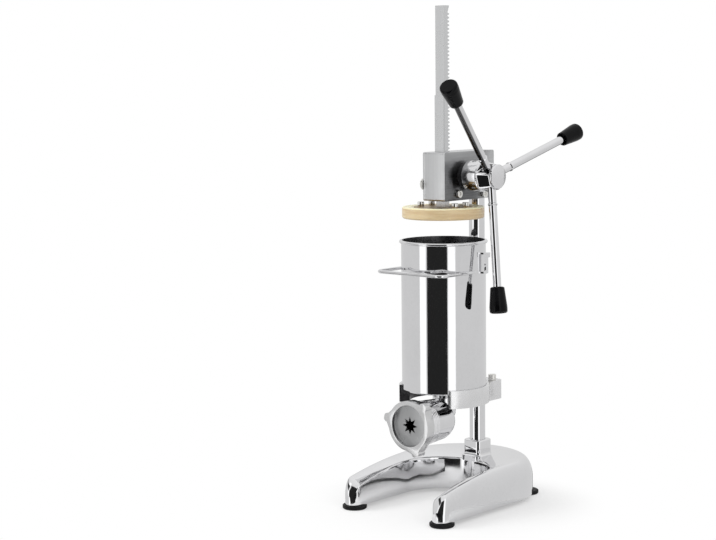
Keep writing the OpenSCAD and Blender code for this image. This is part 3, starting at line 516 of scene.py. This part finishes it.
def moulded_rubber(name, colour):
    """Moulded rubber with a fine tooth and a little dust at the ground"""
    finish = Finish(name, colour, 0.0, 0.62)
    finish.shader.inputs["Specular IOR Level"].default_value = 0.2
    finish.marks(0.5, 0.72, 60.0)
    dust = place_group(finish.tree, "Settled dust", dust_group, finish.place,
                       Top=0.004, Amount=0.12)
    finish.tint(dust.outputs["Mask"], colour, (0.10, 0.098, 0.095))
    finish.bump(noise(finish.tree, finish.place, 1500.0, 3.0), 0.3, GRAIN_HIGH)
    return finish.material


# Satin finishes: title, colour of the settings and its factor, least and largest roughness,
# scale and depth of the grain, and its stretch
EVEN = (1.0, 1.0, 1.0)
SATIN = {
    "brushed_casting": ("Satin housing", "housing", 1.0, (0.34, 0.42), 420.0, 0.05,
                        (1.0, 1.0, 0.03)),
    "cast_bracket": ("Cast bracket", "bracket", 1.0, (0.24, 0.32), 45.0, 0.05, EVEN),
    "tumbled_nut": ("Tumbled nut", "bracket", 0.86, (0.20, 0.27), 60.0, 0.05, EVEN),
    # Insides: unpolished or brushed metal, darkened by painted shade
    "cast_inside_painted_shade": ("Unpolished inside", "inside", 1.0, (0.34, 0.46), 60.0, 0.2, EVEN),
    "barrel_inside": ("Brushed inside", "inside", 4.5, (0.22, 0.34), 60.0, 0.05,
                      (1.0, 1.0, 0.02)),
    # Painted dark reflection on the hub's forward flats
    "blacked_flat": ("Blacked flat", "inside", 0.2, (0.3, 0.4), 60.0, 0.05, EVEN),
    "satin_steel": ("Ground steel", "satin", 1.14, (0.26, 0.32), 70.0, 0.02,
                    (1.0, 1.0, 0.02)),
    "plunger_plate": ("Bronzed plate", "plate", 1.0, (0.30, 0.42), 500.0, 0.05, EVEN),
    "screw_steel": ("Zinc plate", "zinc", 1.0, (0.2, 0.34), 1200.0, 0.08, EVEN),
    "bronze": ("Bearing bronze", "bronze", 1.0, (0.25, 0.36), 900.0, 0.1,
               (0.05, 1.0, 1.0)),
}


def build_finishes(values, outlet_axis):
    """Every finish, by the name under which the pieces ask for it"""
    steel, mirror = values.steel, values.mirror
    made = {
        "polished_steel": polished_finish("Polished steel", steel, mirror, 0.015, 22.0),
        # Chromed steel gets painted shade on its undersides
        "chromed_steel": polished_finish("Chromed steel", steel, mirror, 0.004, 30.0, 0.12),
        "polished_casting": polished_finish("Polished casting", values.casting, mirror,
                                            0.05, 16.0),
        "hub_polish": polished_finish("Buffed hub", steel, 0.11, 0.004, 30.0),
        # The housing's side: ground finish with painted shade round the collar and painted
        # light toward its edges
        "housing_side": ground_side_painted_shade_and_light("Ground side", values.side_painted_shade, values.side_painted_light,
                                    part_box("gear_housing")),
        "die_face": turned_face("Turned die face", scaled(values.satin, 0.64),
                                (0.0, 0.0, outlet_axis)),
        "cream_plastic": turned_plastic("Turned plunger plastic", values.nylon),
        "grip_black": gloss_plastic("Gloss grip", values.grip, (0.14, 0.24), 0.10, 0.03),
        "black_collar": gloss_plastic("Black collar", scaled(values.grip, 5.0),
                                      (0.28, 0.42), 0.5, 0.2),
        "black_rubber": moulded_rubber("Moulded rubber", values.rubber),
    }
    for slot, (title, colour_name, factor, *rest) in SATIN.items():
        made[slot] = satin_finish(title, scaled(getattr(values, colour_name), factor), *rest)
    return made


FINISHES = {}


# ---------------------------------------------------------------- mesh helpers

def new_object(name, bm):
    """Object with the faces of a bmesh."""
    mesh = bpy.data.meshes.new(name)
    bm.to_mesh(mesh)
    bm.free()
    item = bpy.data.objects.new(name, mesh)
    bpy.context.scene.collection.objects.link(item)
    return item


def solid(name, bm):
    """Object whose faces all look outward."""
    bmesh.ops.recalc_face_normals(bm, faces=bm.faces[:])
    return new_object(name, bm)


def put(name, bm, finish, body, smooth=34.0, stands_for=()):
    """Makes a piece from a bmesh and lets it ride on its body."""
    piece = solid(name, bm)
    piece.data.shade_smooth()
    piece.data.set_sharp_from_angle(angle=radians(smooth))
    piece.data.materials.append(finish)
    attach(piece, body)
    if stands_for:
        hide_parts(*stands_for)
    return piece


# Angle in degrees under which facets are one flat, distances under which points are one
FLAT_ANGLE, SAME_POINT, NO_LENGTH = 0.6, 2e-6, 1e-6


def dress(node, edge=0.0, finish=None, hard=48.0):
    """Stands for a node: its own mesh, with the edges sharper than hard rounded."""
    bm = bmesh.new()
    bm.from_mesh(NODES[node].data)
    bmesh.ops.remove_doubles(bm, verts=bm.verts[:], dist=SAME_POINT)
    bmesh.ops.dissolve_degenerate(bm, edges=bm.edges[:], dist=NO_LENGTH)
    if edge > 0.0:
        bmesh.ops.dissolve_limit(bm, angle_limit=radians(FLAT_ANGLE), verts=bm.verts[:],
                                 edges=bm.edges[:])
        corners = [e for e in bm.edges if len(e.link_faces) == 2
                   and e.calc_face_angle(0.0) > radians(hard)]
        bmesh.ops.bevel(bm, geom=corners, offset=edge, segments=2, profile=0.5,
                        affect="EDGES", clamp_overlap=True)
    slot = SLOT_OF[node]
    return put(node + "_dressed", bm, finish or FINISHES[slot], BODY_OF[node],
               stands_for=(node,))


def second_finish(piece, finish, test):
    """Gives those faces of a piece for which the test holds another finish."""
    mesh = piece.data
    mesh.materials.append(finish)
    for face in mesh.polygons:
        if test(face.center, face.normal):
            face.material_index = len(mesh.materials) - 1


def paint(node, finish=None):
    """Gives a CAD node its finish."""
    mesh = NODES[node].data
    mesh.materials.clear()
    mesh.materials.append(finish or FINISHES[SLOT_OF[node]])


def sides(bm, sections):
    """Faces between rings of points that all have the same count."""
    rings = [[bm.verts.new(p) for p in ring] for ring in sections]
    count = len(rings[0])
    for first, second in zip(rings, rings[1:]):
        for k in range(count):
            j = (k + 1) % count
            bm.faces.new((first[k], first[j], second[j], second[k]))
    return rings


def loft(bm, sections):
    """Skin with closed ends through rings of points."""
    rings = sides(bm, sections)
    bm.faces.new(rings[0][::-1])
    bm.faces.new(rings[-1])


def rod(bm, x, y, low, high, radius, steps=64):
    """Upright rod."""
    turns = [2 * pi * k / steps for k in range(steps)]
    sides(bm, [[Vector((radius * cos(a), radius * sin(a), z)) + Vector((x, y, 0.0))
                for a in turns] for z in (low, high)])
    bmesh.ops.holes_fill(bm, edges=[e for e in bm.edges if e.is_boundary])


# ---------------------------------------------------------------- horseshoe casting

# Distance of the arch from the boss
BOSS_GAP = 0.002
# Last angle of the nose, and stations along nose, side and half the arch; the hollow
# starts and ends some stations further in
SKIN_STATIONS = (88.0, 22, 24, 40)
HOLLOW_STATIONS, HOLLOW_START = (80.0, 7, 12, 18), 8
# Steepness of the nose, of the slope next to the inner rounding and of the crown
NOSE_POWER, SLOPE_FACTOR, CROWN_POWER = 1.5, 1.6, 1.8
# Chamfer round the underside, and the hollow's reach below it
RIM, HOLLOW_BELOW = 0.0009, 0.001


class Horseshoe:
    """The casting's stations and sections, from the sizes of the settings"""

    def __init__(self, size):
        self.size = size
        self.inner_half = size.arch / 2
        self.outer_half = size.width / 2
        self.tip = (self.outer_half - self.inner_half) / 2
        self.prong_x = self.outer_half - self.tip
        self.arch_y = size.column_y - size.boss / 2 - BOSS_GAP - self.inner_half
        self.tail_y = size.column_y + size.tail - self.outer_half
        self.fall_at = size.column_y - size.fall_start

    def crest(self, y):
        """Height of the crest, level at the back and falling along an arc in front"""
        size = self.size
        if y >= self.fall_at:
            return size.crest
        fall = size.fall_radius
        return size.crest - fall + sqrt(fall ** 2 - (self.fall_at - y) ** 2)

    def nose(self, a):
        y = -self.size.reach - self.tip * sin(a)
        half = self.tip * cos(a)
        high = self.size.nose + (self.crest(y) - self.size.nose) * cos(a) ** NOSE_POWER
        return (self.prong_x - half, y), (self.prong_x + half, y), high

    def side(self, t):
        inner = -self.size.reach + t * (self.arch_y + self.size.reach)
        outer = -self.size.reach + t * (self.tail_y + self.size.reach)
        return ((self.inner_half, inner), (self.outer_half, outer),
                self.crest((inner + outer) / 2))

    def arch(self, a):
        middle = (self.arch_y + self.tail_y) / 2
        return ((self.inner_half * cos(a), self.arch_y + self.inner_half * sin(a)),
                (self.outer_half * cos(a), self.tail_y + self.outer_half * sin(a)),
                self.crest(middle + self.outer_half * sin(a)))

    def stations(self, tip, nose, side, arch):
        """Inner point, outer point and height of each section, from tip to tip"""
        half = [self.nose(radians(tip) * k / nose) for k in range(nose, 0, -1)]
        half += [self.side(k / side) for k in range(side)]
        half += [self.arch(pi / 2 * k / arch) for k in range(arch + 1)]
        other = [((-i[0], i[1]), (-o[0], o[1]), h) for i, o, h in half[-2::-1]]
        return half + other

    def lay(self, station, points):
        """Places a section's (distance outward, height) points at a station"""
        (ix, iy), (ox, oy), _ = station
        wide = sqrt((ox - ix) ** 2 + (oy - iy) ** 2)
        return [(ix + (ox - ix) * u / wide, iy + (oy - iy) * u / wide, self.size.foot + z)
                for u, z in points]

    def measures(self, station):
        """Width of a section, its outer rounding and its drop, as far as there is room"""
        (ix, iy), (ox, oy), high = station
        wide = sqrt((ox - ix) ** 2 + (oy - iy) ** 2)
        return (wide, min(self.size.outer_round, 0.28 * wide),
                min(self.size.outer_high, 0.6 * high), min(self.size.inner_drop, 0.45 * wide))

    def skin(self, station):
        """Wall, rounded inner edge, crown up to the crest and the outer rounding"""
        size, high = self.size, station[2]
        wide, out_w, out_h, drop = self.measures(station)
        edge = min(size.inner_round, 0.3 * wide)
        draft = min(size.draft, 0.1 * wide)
        crest = wide - out_w
        bottom = min(RIM, 0.1 * wide)
        run = crest - draft - edge
        slope = atan2(SLOPE_FACTOR * drop, run)
        points = [(bottom, 0.0), (0.3 * bottom, 0.3 * bottom), (0.02 * draft, bottom)]
        low = high - drop - edge
        points += [(draft * t, bottom + (low - bottom) * t) for t in (0.33, 0.66, 0.94)]
        for k in range(7):
            a = pi / 2 + (slope - pi / 2) * k / 6
            points.append((draft + edge * (1 - sin(a)), low + edge * cos(a)))
        u0, z0 = points[-1]
        for k in range(1, 9):
            t = k / 8
            points.append((u0 + (crest - u0) * t,
                           z0 + (high - z0) * (1 - (1 - t) ** CROWN_POWER)))
        for k in range(1, 17):
            a = pi / 2 * (1 - k / 16)
            points.append((crest + out_w * cos(a), high - out_h * (1 - sin(a))))
        z1 = high - out_h
        points += [(wide, bottom + (z1 - bottom) * t) for t in (0.66, 0.33, 0.0)]
        points += [(wide - 0.3 * bottom, 0.3 * bottom), (wide - bottom, 0.0)]
        return self.lay(station, points)

    def hollow(self, station):
        """Section of the space inside, a wall's thickness or more from the skin"""
        size, high, t = self.size, station[2], self.size.wall
        wide, out_w, out_h, drop = self.measures(station)
        low = high - drop
        return self.lay(station, [
            (t + size.draft, -HOLLOW_BELOW), (t + size.draft, low - size.inner_round - t),
            (t + size.inner_round, low - 1.3 * t), (wide - out_w - 0.3 * t, high - 1.3 * t),
            (wide - 1.2 * t, high - out_h), (wide - t, -HOLLOW_BELOW)])


def rounded_square(half, corner, y, z, steps=8):
    """Level ring of points round a square with round corners"""
    points = []
    for cx, cy, start in ((1, 1, 0.0), (-1, 1, 90.0), (-1, -1, 180.0), (1, -1, 270.0)):
        for k in range(steps + 1):
            a = radians(start + 90.0 * k / steps)
            points.append((cx * (half - corner) + corner * cos(a),
                           y + cy * (half - corner) + corner * sin(a), z))
    return points


def combine(target, steps):
    """Joins or cuts the target with other solids, and returns its new bmesh."""
    for operation, other in steps:
        change = target.modifiers.new(operation, "BOOLEAN")
        change.operation = operation
        change.solver = "EXACT"
        change.object = other
    bpy.context.view_layer.update()
    seen = target.evaluated_get(bpy.context.evaluated_depsgraph_get())
    bm = bmesh.new()
    bm.from_mesh(seen.to_mesh())
    seen.to_mesh_clear()
    for item in (target, *(other for _, other in steps)):
        mesh = item.data
        bpy.data.objects.remove(item)
        bpy.data.meshes.remove(mesh)
    return bm


# ---------------------------------------------------------------- operators

class CHURRO_OT_finishes(bpy.types.Operator):
    """Build the finishes and give every packed piece its own"""
    bl_idname = "churro.finishes"
    bl_label = "Finishes"

    def execute(self, context):
        FINISHES.clear()
        FINISHES.update(build_finishes(settings(context, "finishes"),
                                       settings(context, "thread").axis_height))
        for node in NODES:
            paint(node)
        paint("plunger_plate", FINISHES["plunger_plate"])
        return {"FINISHED"}


# Boss: rounding of its top, starts of boss and flare under the crest, flare's steepness
BOSS_EDGE, BOSS_FOOT, FLARE_FOOT, FLARE_RISE = 0.0022, 0.012, 0.004, 1.6
# Posts inside the casting: how much wider than the boss, ends under the crest
POST_WIDER, POST_END, FOOT_POST_END = 0.002, 0.008, 0.03
# Bore for the column: depth, reach above the boss and clearance
BORE_DEPTH, BORE_ABOVE, BORE_ROOM = 0.055, 0.01, 0.0002


class CHURRO_OT_base(bpy.types.Operator):
    """Shape the polished horseshoe casting with its boss and its hollow underside"""
    bl_idname = "churro.base"
    bl_label = "Horseshoe base"

    def execute(self, context):
        size = settings(context, "base")
        shape = Horseshoe(size)
        column, low = size.column_y, size.foot
        top = size.foot + size.crest
        high = top + size.boss_height
        skin, boss, hollow, posts, bore = (bmesh.new() for _ in range(5))
        loft(skin, [shape.skin(s) for s in shape.stations(*SKIN_STATIONS)])
        half, edge = size.boss / 2, BOSS_EDGE
        rings = [(half + size.flare, top - BOSS_FOOT), (half + size.flare, top - FLARE_FOOT)]
        for k in range(1, 9):
            a = pi / 2 * k / 8
            rings.append((half + size.flare * (1 - sin(a)),
                          top - FLARE_FOOT + FLARE_RISE * size.flare * (1 - cos(a))))
        rings += [(half, high - edge)]
        rings += [(half - edge * (1 - cos(a)), high - edge * (1 - sin(a)))
                  for a in (pi / 8, pi / 4, 3 * pi / 8, pi / 2)]
        loft(boss, [rounded_square(h, size.boss_round + (h - half), column, z)
                    for h, z in rings])
        inside = shape.stations(*HOLLOW_STATIONS)[HOLLOW_START:-HOLLOW_START]
        loft(hollow, [shape.hollow(s) for s in inside])
        rod(posts, 0, column, low, top - POST_END, half + POST_WIDER)
        for side in (-1, 1):
            rod(posts, side * size.post_side, column + size.post_back, low,
                top - FOOT_POST_END, size.post, 32)
        rod(bore, 0, column, high - BORE_DEPTH, high + BORE_ABOVE,
            size.column_width / 2 + BORE_ROOM, 96)
        bm = combine(solid("skin", skin), [
            ("UNION", solid("boss", boss)), ("DIFFERENCE", solid("hollow", hollow)),
            ("UNION", solid("posts", posts)), ("DIFFERENCE", solid("bore", bore))])
        put("horseshoe_base", bm, FINISHES["polished_casting"], "frame",
            38.0, ("base_casting",))
        return {"FINISHED"}


# Thread: steps to a turn, part of the length for its run-out, and its ridge as (part of
# the pitch, part of the depth)
THREAD_STEPS, THREAD_RUN_OUT = 72, 12
THREAD_RIDGE = ((-0.42, -0.25), (-0.10, 1.0), (0.10, 1.0), (0.42, -0.25))


class CHURRO_OT_outlet_thread(bpy.types.Operator):
    """Cut the thread that shows behind the nozzle nut"""
    bl_idname = "churro.outlet_thread"
    bl_label = "Outlet thread"

    def execute(self, context):
        size = settings(context, "thread")
        bm = bmesh.new()
        turns = (size.end - size.start) / size.pitch
        steps = int(turns * THREAD_STEPS)
        sections = []
        for k in range(steps + 1):
            t = k / steps
            a = 2 * pi * turns * t
            rise = min(1.0, THREAD_RUN_OUT * t, THREAD_RUN_OUT * (1 - t))
            along = size.start + t * (size.end - size.start)
            ring = []
            for off, high in THREAD_RIDGE:
                radius = size.radius + size.depth * (high * rise if high > 0 else high)
                ring.append((radius * cos(a), -(along + off * size.pitch),
                             size.axis_height + radius * sin(a)))
            sections.append(ring)
        loft(bm, sections)
        put("outlet_thread", bm, FINISHES["polished_steel"], "barrel", 50.0)
        return {"FINISHED"}


class CHURRO_OT_housing(bpy.types.Operator):
    """Round the housing's edges and give its right side its grind, with painted shade round
    the collar and painted light toward its edges
    """
    bl_idname = "churro.housing"
    bl_label = "Gear housing"

    def execute(self, context):
        size = settings(context, "edges")
        block = dress("gear_housing", size.plate)
        # Right side: painted shade round the collar and painted light toward its edges
        second_finish(block, FINISHES["housing_side"], lambda c, n: n.x > 0.9)
        dress("housing_cover", size.plate)
        for node in ("housing_set_screws", "guide_adjuster", "shaft_bush_right"):
            dress(node, size.small)
        return {"FINISHED"}


# Flats of the hub that get a painted dark reflection: most sideways lean, least forward part
# of the normal, least area
FLAT_LEAN, FLAT_FORWARD, FLAT_AREA = 0.3, 0.6, 1.5e-4


class CHURRO_OT_crank(bpy.types.Operator):
    """Buff the hub, round its edges and paint a dark reflection on the flats that face
    forward
    """
    bl_idname = "churro.crank"
    bl_label = "Crank hub"

    def execute(self, context):
        size = settings(context, "edges")
        hub = dress("handle_hub", size.hub, FINISHES["hub_polish"], hard=20.0)
        mesh = hub.data
        mesh.materials.append(FINISHES["blacked_flat"])
        bm = bmesh.new()
        bm.from_mesh(mesh)
        flats = [f for f in bm.faces if abs(f.normal.x) < FLAT_LEAN
                 and f.normal.y < -FLAT_FORWARD and f.calc_area() > FLAT_AREA]
        # Painted dark reflection on the forward flats, framed by a border of the hub's polish
        bmesh.ops.inset_individual(bm, faces=flats, thickness=size.window)
        for face in flats:
            face.material_index = 1
        bm.to_mesh(mesh)
        bm.free()
        dress("hub_cap", size.small, FINISHES["hub_polish"])
        return {"FINISHED"}


class CHURRO_OT_plunger(bpy.types.Operator):
    """Round the plunger's rim, keep it out of reflections and round its bolts' heads"""
    bl_idname = "churro.plunger"
    bl_label = "Plunger"

    def execute(self, context):
        size = settings(context, "edges")
        disc = dress("plunger", size.plunger)
        disc.visible_glossy = False
        dress("plunger_bolts", size.small)
        return {"FINISHED"}


def outward(c, n):
    """Positive where a face at c looks away from the barrel's axis."""
    return n.x * c.x + n.y * c.y


# Tests for faces inside the barrel and the bracket, and for walls
BARREL_INWARD, BRACKET_INSIDE, WALL_UPWARD = -0.03, 0.062, 0.5


class CHURRO_OT_barrel(bpy.types.Operator):
    """Give the barrel its brushed inside, darkened by painted shade"""
    bl_idname = "churro.barrel"
    bl_label = "Barrel"

    def execute(self, context):
        paint("barrel")
        # Painted shade: the inner wall gets a darker brushed finish
        second_finish(NODES["barrel"], FINISHES["barrel_inside"],
                      lambda c, n: outward(c, n) < BARREL_INWARD)
        return {"FINISHED"}


class CHURRO_OT_bracket(bpy.types.Operator):
    """Round the bracket's edges and give its inner walls an unpolished finish darkened by
    painted shade
    """
    bl_idname = "churro.bracket"
    bl_label = "Barrel bracket"

    def execute(self, context):
        size = settings(context, "edges")
        ring = dress("barrel_bracket", size.casting, FINISHES["cast_bracket"])
        # Unpolished inner walls with painted shade
        second_finish(ring, FINISHES["cast_inside_painted_shade"],
                      lambda c, n: sqrt(c.x ** 2 + c.y ** 2) < BRACKET_INSIDE
                      and abs(n.z) < WALL_UPWARD and outward(c, n) < 0)
        dress("bracket_screws", size.small)
        return {"FINISHED"}


class CHURRO_OT_outlet(bpy.types.Operator):
    """Tumbled nozzle nut, and an outlet darkened by painted shade inside"""
    bl_idname = "churro.outlet"
    bl_label = "Outlet and nut"

    def execute(self, context):
        size = settings(context, "edges")
        thread = settings(context, "thread")
        axis, ball = thread.axis_height, thread.ball_forward
        dress("nozzle_nut", size.nut, FINISHES["tumbled_nut"])
        dress("die_plate", size.small, FINISHES["die_face"])

        def inner(c, n):
            off_axis = sqrt(c.x ** 2 + (c.z - axis) ** 2)
            in_ball = sqrt(off_axis ** 2 + (-c.y - ball) ** 2) < thread.ball_inside
            in_mouth = -c.y > ball and off_axis < thread.mouth_inside
            in_neck = c.z > axis and sqrt(c.x ** 2 + c.y ** 2) < thread.neck_inside
            return in_ball or in_mouth or in_neck
        # Painted shade inside the ball, the mouth and the neck
        second_finish(dress("outlet_elbow"), FINISHES["cast_inside_painted_shade"], inner)
        return {"FINISHED"}


class CHURRO_OT_stage(bpy.types.Operator):
    """Set the floor, the lamps, the surroundings and the camera"""
    bl_idname = "churro.stage"
    bl_label = "Stage"

    def execute(self, context):
        size = settings(context, "studio")
        make_floor(size)
        make_world(size)
        lamp("Key lamp", place=(-1.5, -1.2, 2.1), width=1.5, power=size.key)
        lamp("Fill lamp", place=(1.9, -0.6, 1.5), width=1.2, power=size.fill)
        make_camera()
        context.scene.view_settings.view_transform = "Standard"
        return {"FINISHED"}


# Middle of the floor that polished metal sees, and the radii between which it ends
NEAR_FLOOR, FLOOR_END = (0.0, -0.03), (0.14, 0.17)
# Middle, radius and soft edge of a painted dark reflection: a patch of the floor that only
# polished metal sees dark
PAINTED_REFLECTION_PATCH, PATCH_RADIUS, PATCH_SOFT = (0.075, -0.265), 0.075, 0.012
# Radii between which the floor that the camera sees turns white, and how white its middle is
WHITE_FADE, WHITE_MIDDLE = (0.12, 0.25), 0.42
# How far the floor lies under the feet
FLOOR_DROP = 0.0003


def distance_from(tree, place, centre):
    """How far a point of the floor lies from a centre"""
    shift = vector_node(tree, "SUBTRACT", place, (*centre, 0.0))
    return vector_node(tree, "LENGTH", shift, output="Value")


def make_floor(size):
    """Pale floor: white to the camera; to reflections clear away from the base, with a
    painted dark reflection in one patch
    """
    bm = bmesh.new()
    bmesh.ops.create_circle(bm, cap_ends=True, segments=128, radius=size.floor_radius)
    floor = new_object("floor", bm)
    floor.location = (0, 0, -FLOOR_DROP)
    material = bpy.data.materials.new("Pale floor")
    material.use_nodes = True
    tree = material.node_tree
    tree.nodes.clear()
    out = tree.nodes.new("ShaderNodeOutputMaterial")
    matt, white, black, clear = (tree.nodes.new("ShaderNode" + kind) for kind in (
        "BsdfDiffuse", "Emission", "Emission", "BsdfTransparent"))
    for node, tone in ((matt, size.floor), (white, (1, 1, 1)), (black, (0.01, 0.01, 0.011))):
        node.inputs["Color"].default_value = (*tone, 1.0)
    rays = tree.nodes.new("ShaderNodeLightPath")
    place = tree.nodes.new("ShaderNodeTexCoord").outputs["Object"]
    fade = map_range(tree, distance_from(tree, place, (0.0, 0.0)), *WHITE_FADE,
                     WHITE_MIDDLE, 1.0, True)
    near = map_range(tree, distance_from(tree, place, NEAR_FLOOR), *FLOOR_END, 0.0, 1.0, True)
    patch = map_range(tree, distance_from(tree, place, PAINTED_REFLECTION_PATCH), PATCH_RADIUS - PATCH_SOFT,
                      PATCH_RADIUS + PATCH_SOFT, 1.0, 0.0, True)
    reflected = math_node(tree, "MAXIMUM", rays.outputs["Is Glossy Ray"],
                          rays.outputs["Is Transmission Ray"])
    surface = matt.outputs[0]
    # The last mix paints the dark reflection: black to reflections inside the patch
    for shader, region, seen in ((white, fade, rays.outputs["Is Camera Ray"]),
                                 (clear, near, reflected), (black, patch, reflected)):
        mix = tree.nodes.new("ShaderNodeMixShader")
        tree.links.new(math_node(tree, "MULTIPLY", region, seen), mix.inputs[0])
        tree.links.new(surface, mix.inputs[1])
        tree.links.new(shader.outputs[0], mix.inputs[2])
        surface = mix.outputs[0]
    tree.links.new(surface, out.inputs["Surface"])
    floor.data.materials.append(material)


# Studio cards as (azimuth from and to, elevation from and to, level), and their soft edge
CARDS = (
    (-119.4, -100.4, -60, 40, 1.35),
    (-97.4, -41.4, -60, 32, 0.02),
    (-39.4, -19.4, -60, 40, 1.35),
    (-156.0, -134.0, -48, -26, 0.12),
    (114.0, 138.0, -34, -11.5, 0.02),
    (-178.0, -104.0, 20, 31, 0.05),
)
CARD_SOFT = 1.0
# Elevations between which the surroundings brighten, and their levels there
SKY_HEIGHTS, SKY_LEVELS = (-20.0, 70.0), (0.72, 0.95)


def make_world(size):
    """Surroundings: plain light, white to the camera, with studio cards in reflections"""
    world = bpy.data.worlds.new("Studio")
    bpy.context.scene.world = world
    world.use_nodes = True
    tree = world.node_tree
    tree.nodes.clear()
    out = tree.nodes.new("ShaderNodeOutputWorld")
    back = tree.nodes.new("ShaderNodeBackground")
    rays = tree.nodes.new("ShaderNodeLightPath")
    parts = tree.nodes.new("ShaderNodeSeparateXYZ")
    tree.links.new(tree.nodes.new("ShaderNodeTexCoord").outputs["Generated"], parts.inputs[0])
    azimuth = math_node(tree, "MULTIPLY", math_node(
        tree, "ARCTAN2", parts.outputs["Y"], parts.outputs["X"]), 180 / pi)
    elevation = math_node(tree, "MULTIPLY", math_node(
        tree, "ARCSINE", parts.outputs["Z"]), 180 / pi)
    level = map_range(tree, elevation, *SKY_HEIGHTS, *SKY_LEVELS, True)
    for low, high, down, up, strength in CARDS:
        inside = None
        for value, edge, ends in ((azimuth, low, (0.0, 1.0)), (azimuth, high, (1.0, 0.0)),
                                  (elevation, down, (0.0, 1.0)), (elevation, up, (1.0, 0.0))):
            soft = map_range(tree, value, edge - CARD_SOFT, edge + CARD_SOFT, *ends, True)
            inside = soft if inside is None else math_node(tree, "MULTIPLY", inside, soft)
        level = blend(tree, inside, level, strength)
    plain = blend(tree, rays.outputs["Is Glossy Ray"], size.ambient, level)
    direct = math_node(tree, "MAXIMUM", rays.outputs["Is Camera Ray"],
                       rays.outputs["Is Transmission Ray"])
    tree.links.new(blend(tree, direct, plain, 1.0), back.inputs["Color"])
    tree.links.new(back.outputs[0], out.inputs["Surface"])


# Point that the lamps light
LAMP_AIM = Vector((0, 0, 0.3))


def lamp(name, place, width, power):
    """Square lamp that lights without being reflected"""
    data = bpy.data.lights.new(name, "AREA")
    data.shape = "SQUARE"
    data.size = width
    data.energy = power
    item = bpy.data.objects.new(name, data)
    item.location = place
    aim = LAMP_AIM - Vector(place)
    item.rotation_euler = aim.to_track_quat("-Z", "Y").to_euler()
    item.visible_glossy = False
    bpy.context.scene.collection.objects.link(item)


# The photograph's camera: place, turn, pitch and roll in degrees, lens and sensor width
CAMERA_PLACE = (1.58743, -1.99069, 0.64156)
CAMERA_TURNS = (41.46, 6.37, -0.63)
CAMERA_LENS, CAMERA_SENSOR = 85.70, 36.0


def make_camera():
    """Camera at the photograph's place"""
    turn, pitch, roll = (radians(angle) for angle in CAMERA_TURNS)
    ahead = Vector((-sin(turn) * cos(pitch), cos(turn) * cos(pitch), -sin(pitch)))
    right = Vector((cos(turn), sin(turn), 0))
    up = right.cross(ahead)
    right, up = (cos(roll) * right + sin(roll) * up, cos(roll) * up - sin(roll) * right)
    data = bpy.data.cameras.new("Camera")
    data.lens = CAMERA_LENS
    data.sensor_width = CAMERA_SENSOR
    item = bpy.data.objects.new("Camera", data)
    matrix = Matrix((right, up, -ahead)).transposed().to_4x4()
    matrix.translation = Vector(CAMERA_PLACE)
    item.matrix_world = matrix
    bpy.context.scene.collection.objects.link(item)
    bpy.context.scene.camera = item


STEPS = (CHURRO_OT_finishes, CHURRO_OT_base, CHURRO_OT_housing, CHURRO_OT_crank,
         CHURRO_OT_plunger, CHURRO_OT_barrel, CHURRO_OT_bracket, CHURRO_OT_outlet,
         CHURRO_OT_outlet_thread, CHURRO_OT_stage)
GROUPS = (("finishes", ChurroFinishes), ("edges", ChurroEdges), ("base", ChurroBase),
          ("thread", ChurroThread), ("studio", ChurroStudio))


class CHURRO_PT_panel(bpy.types.Panel):
    """The operators and their settings"""
    bl_idname = "CHURRO_PT_panel"
    bl_label = "Churro maker"
    bl_space_type = "VIEW_3D"
    bl_region_type = "UI"
    bl_category = "Churro maker"

    def draw(self, context):
        for step in STEPS:
            self.layout.operator(step.bl_idname)
        for name, kind in GROUPS:
            box = self.layout.box()
            box.label(text=kind.__doc__)
            for label in kind.__annotations__:
                box.prop(settings(context, name), label)


def register():
    for name, kind in GROUPS:
        bpy.utils.register_class(kind)
        setattr(bpy.types.Scene, "churro_" + name, PointerProperty(type=kind))
    for kind in (*STEPS, CHURRO_PT_panel):
        bpy.utils.register_class(kind)


def unregister():
    for kind in (CHURRO_PT_panel, *reversed(STEPS)):
        bpy.utils.unregister_class(kind)
    for name, kind in reversed(GROUPS):
        delattr(bpy.types.Scene, "churro_" + name)
        bpy.utils.unregister_class(kind)


def main():
    register()
    for step in STEPS:
        family, name = step.bl_idname.split(".")
        getattr(getattr(bpy.ops, family), name)()


if __name__ == "__main__":
    main()
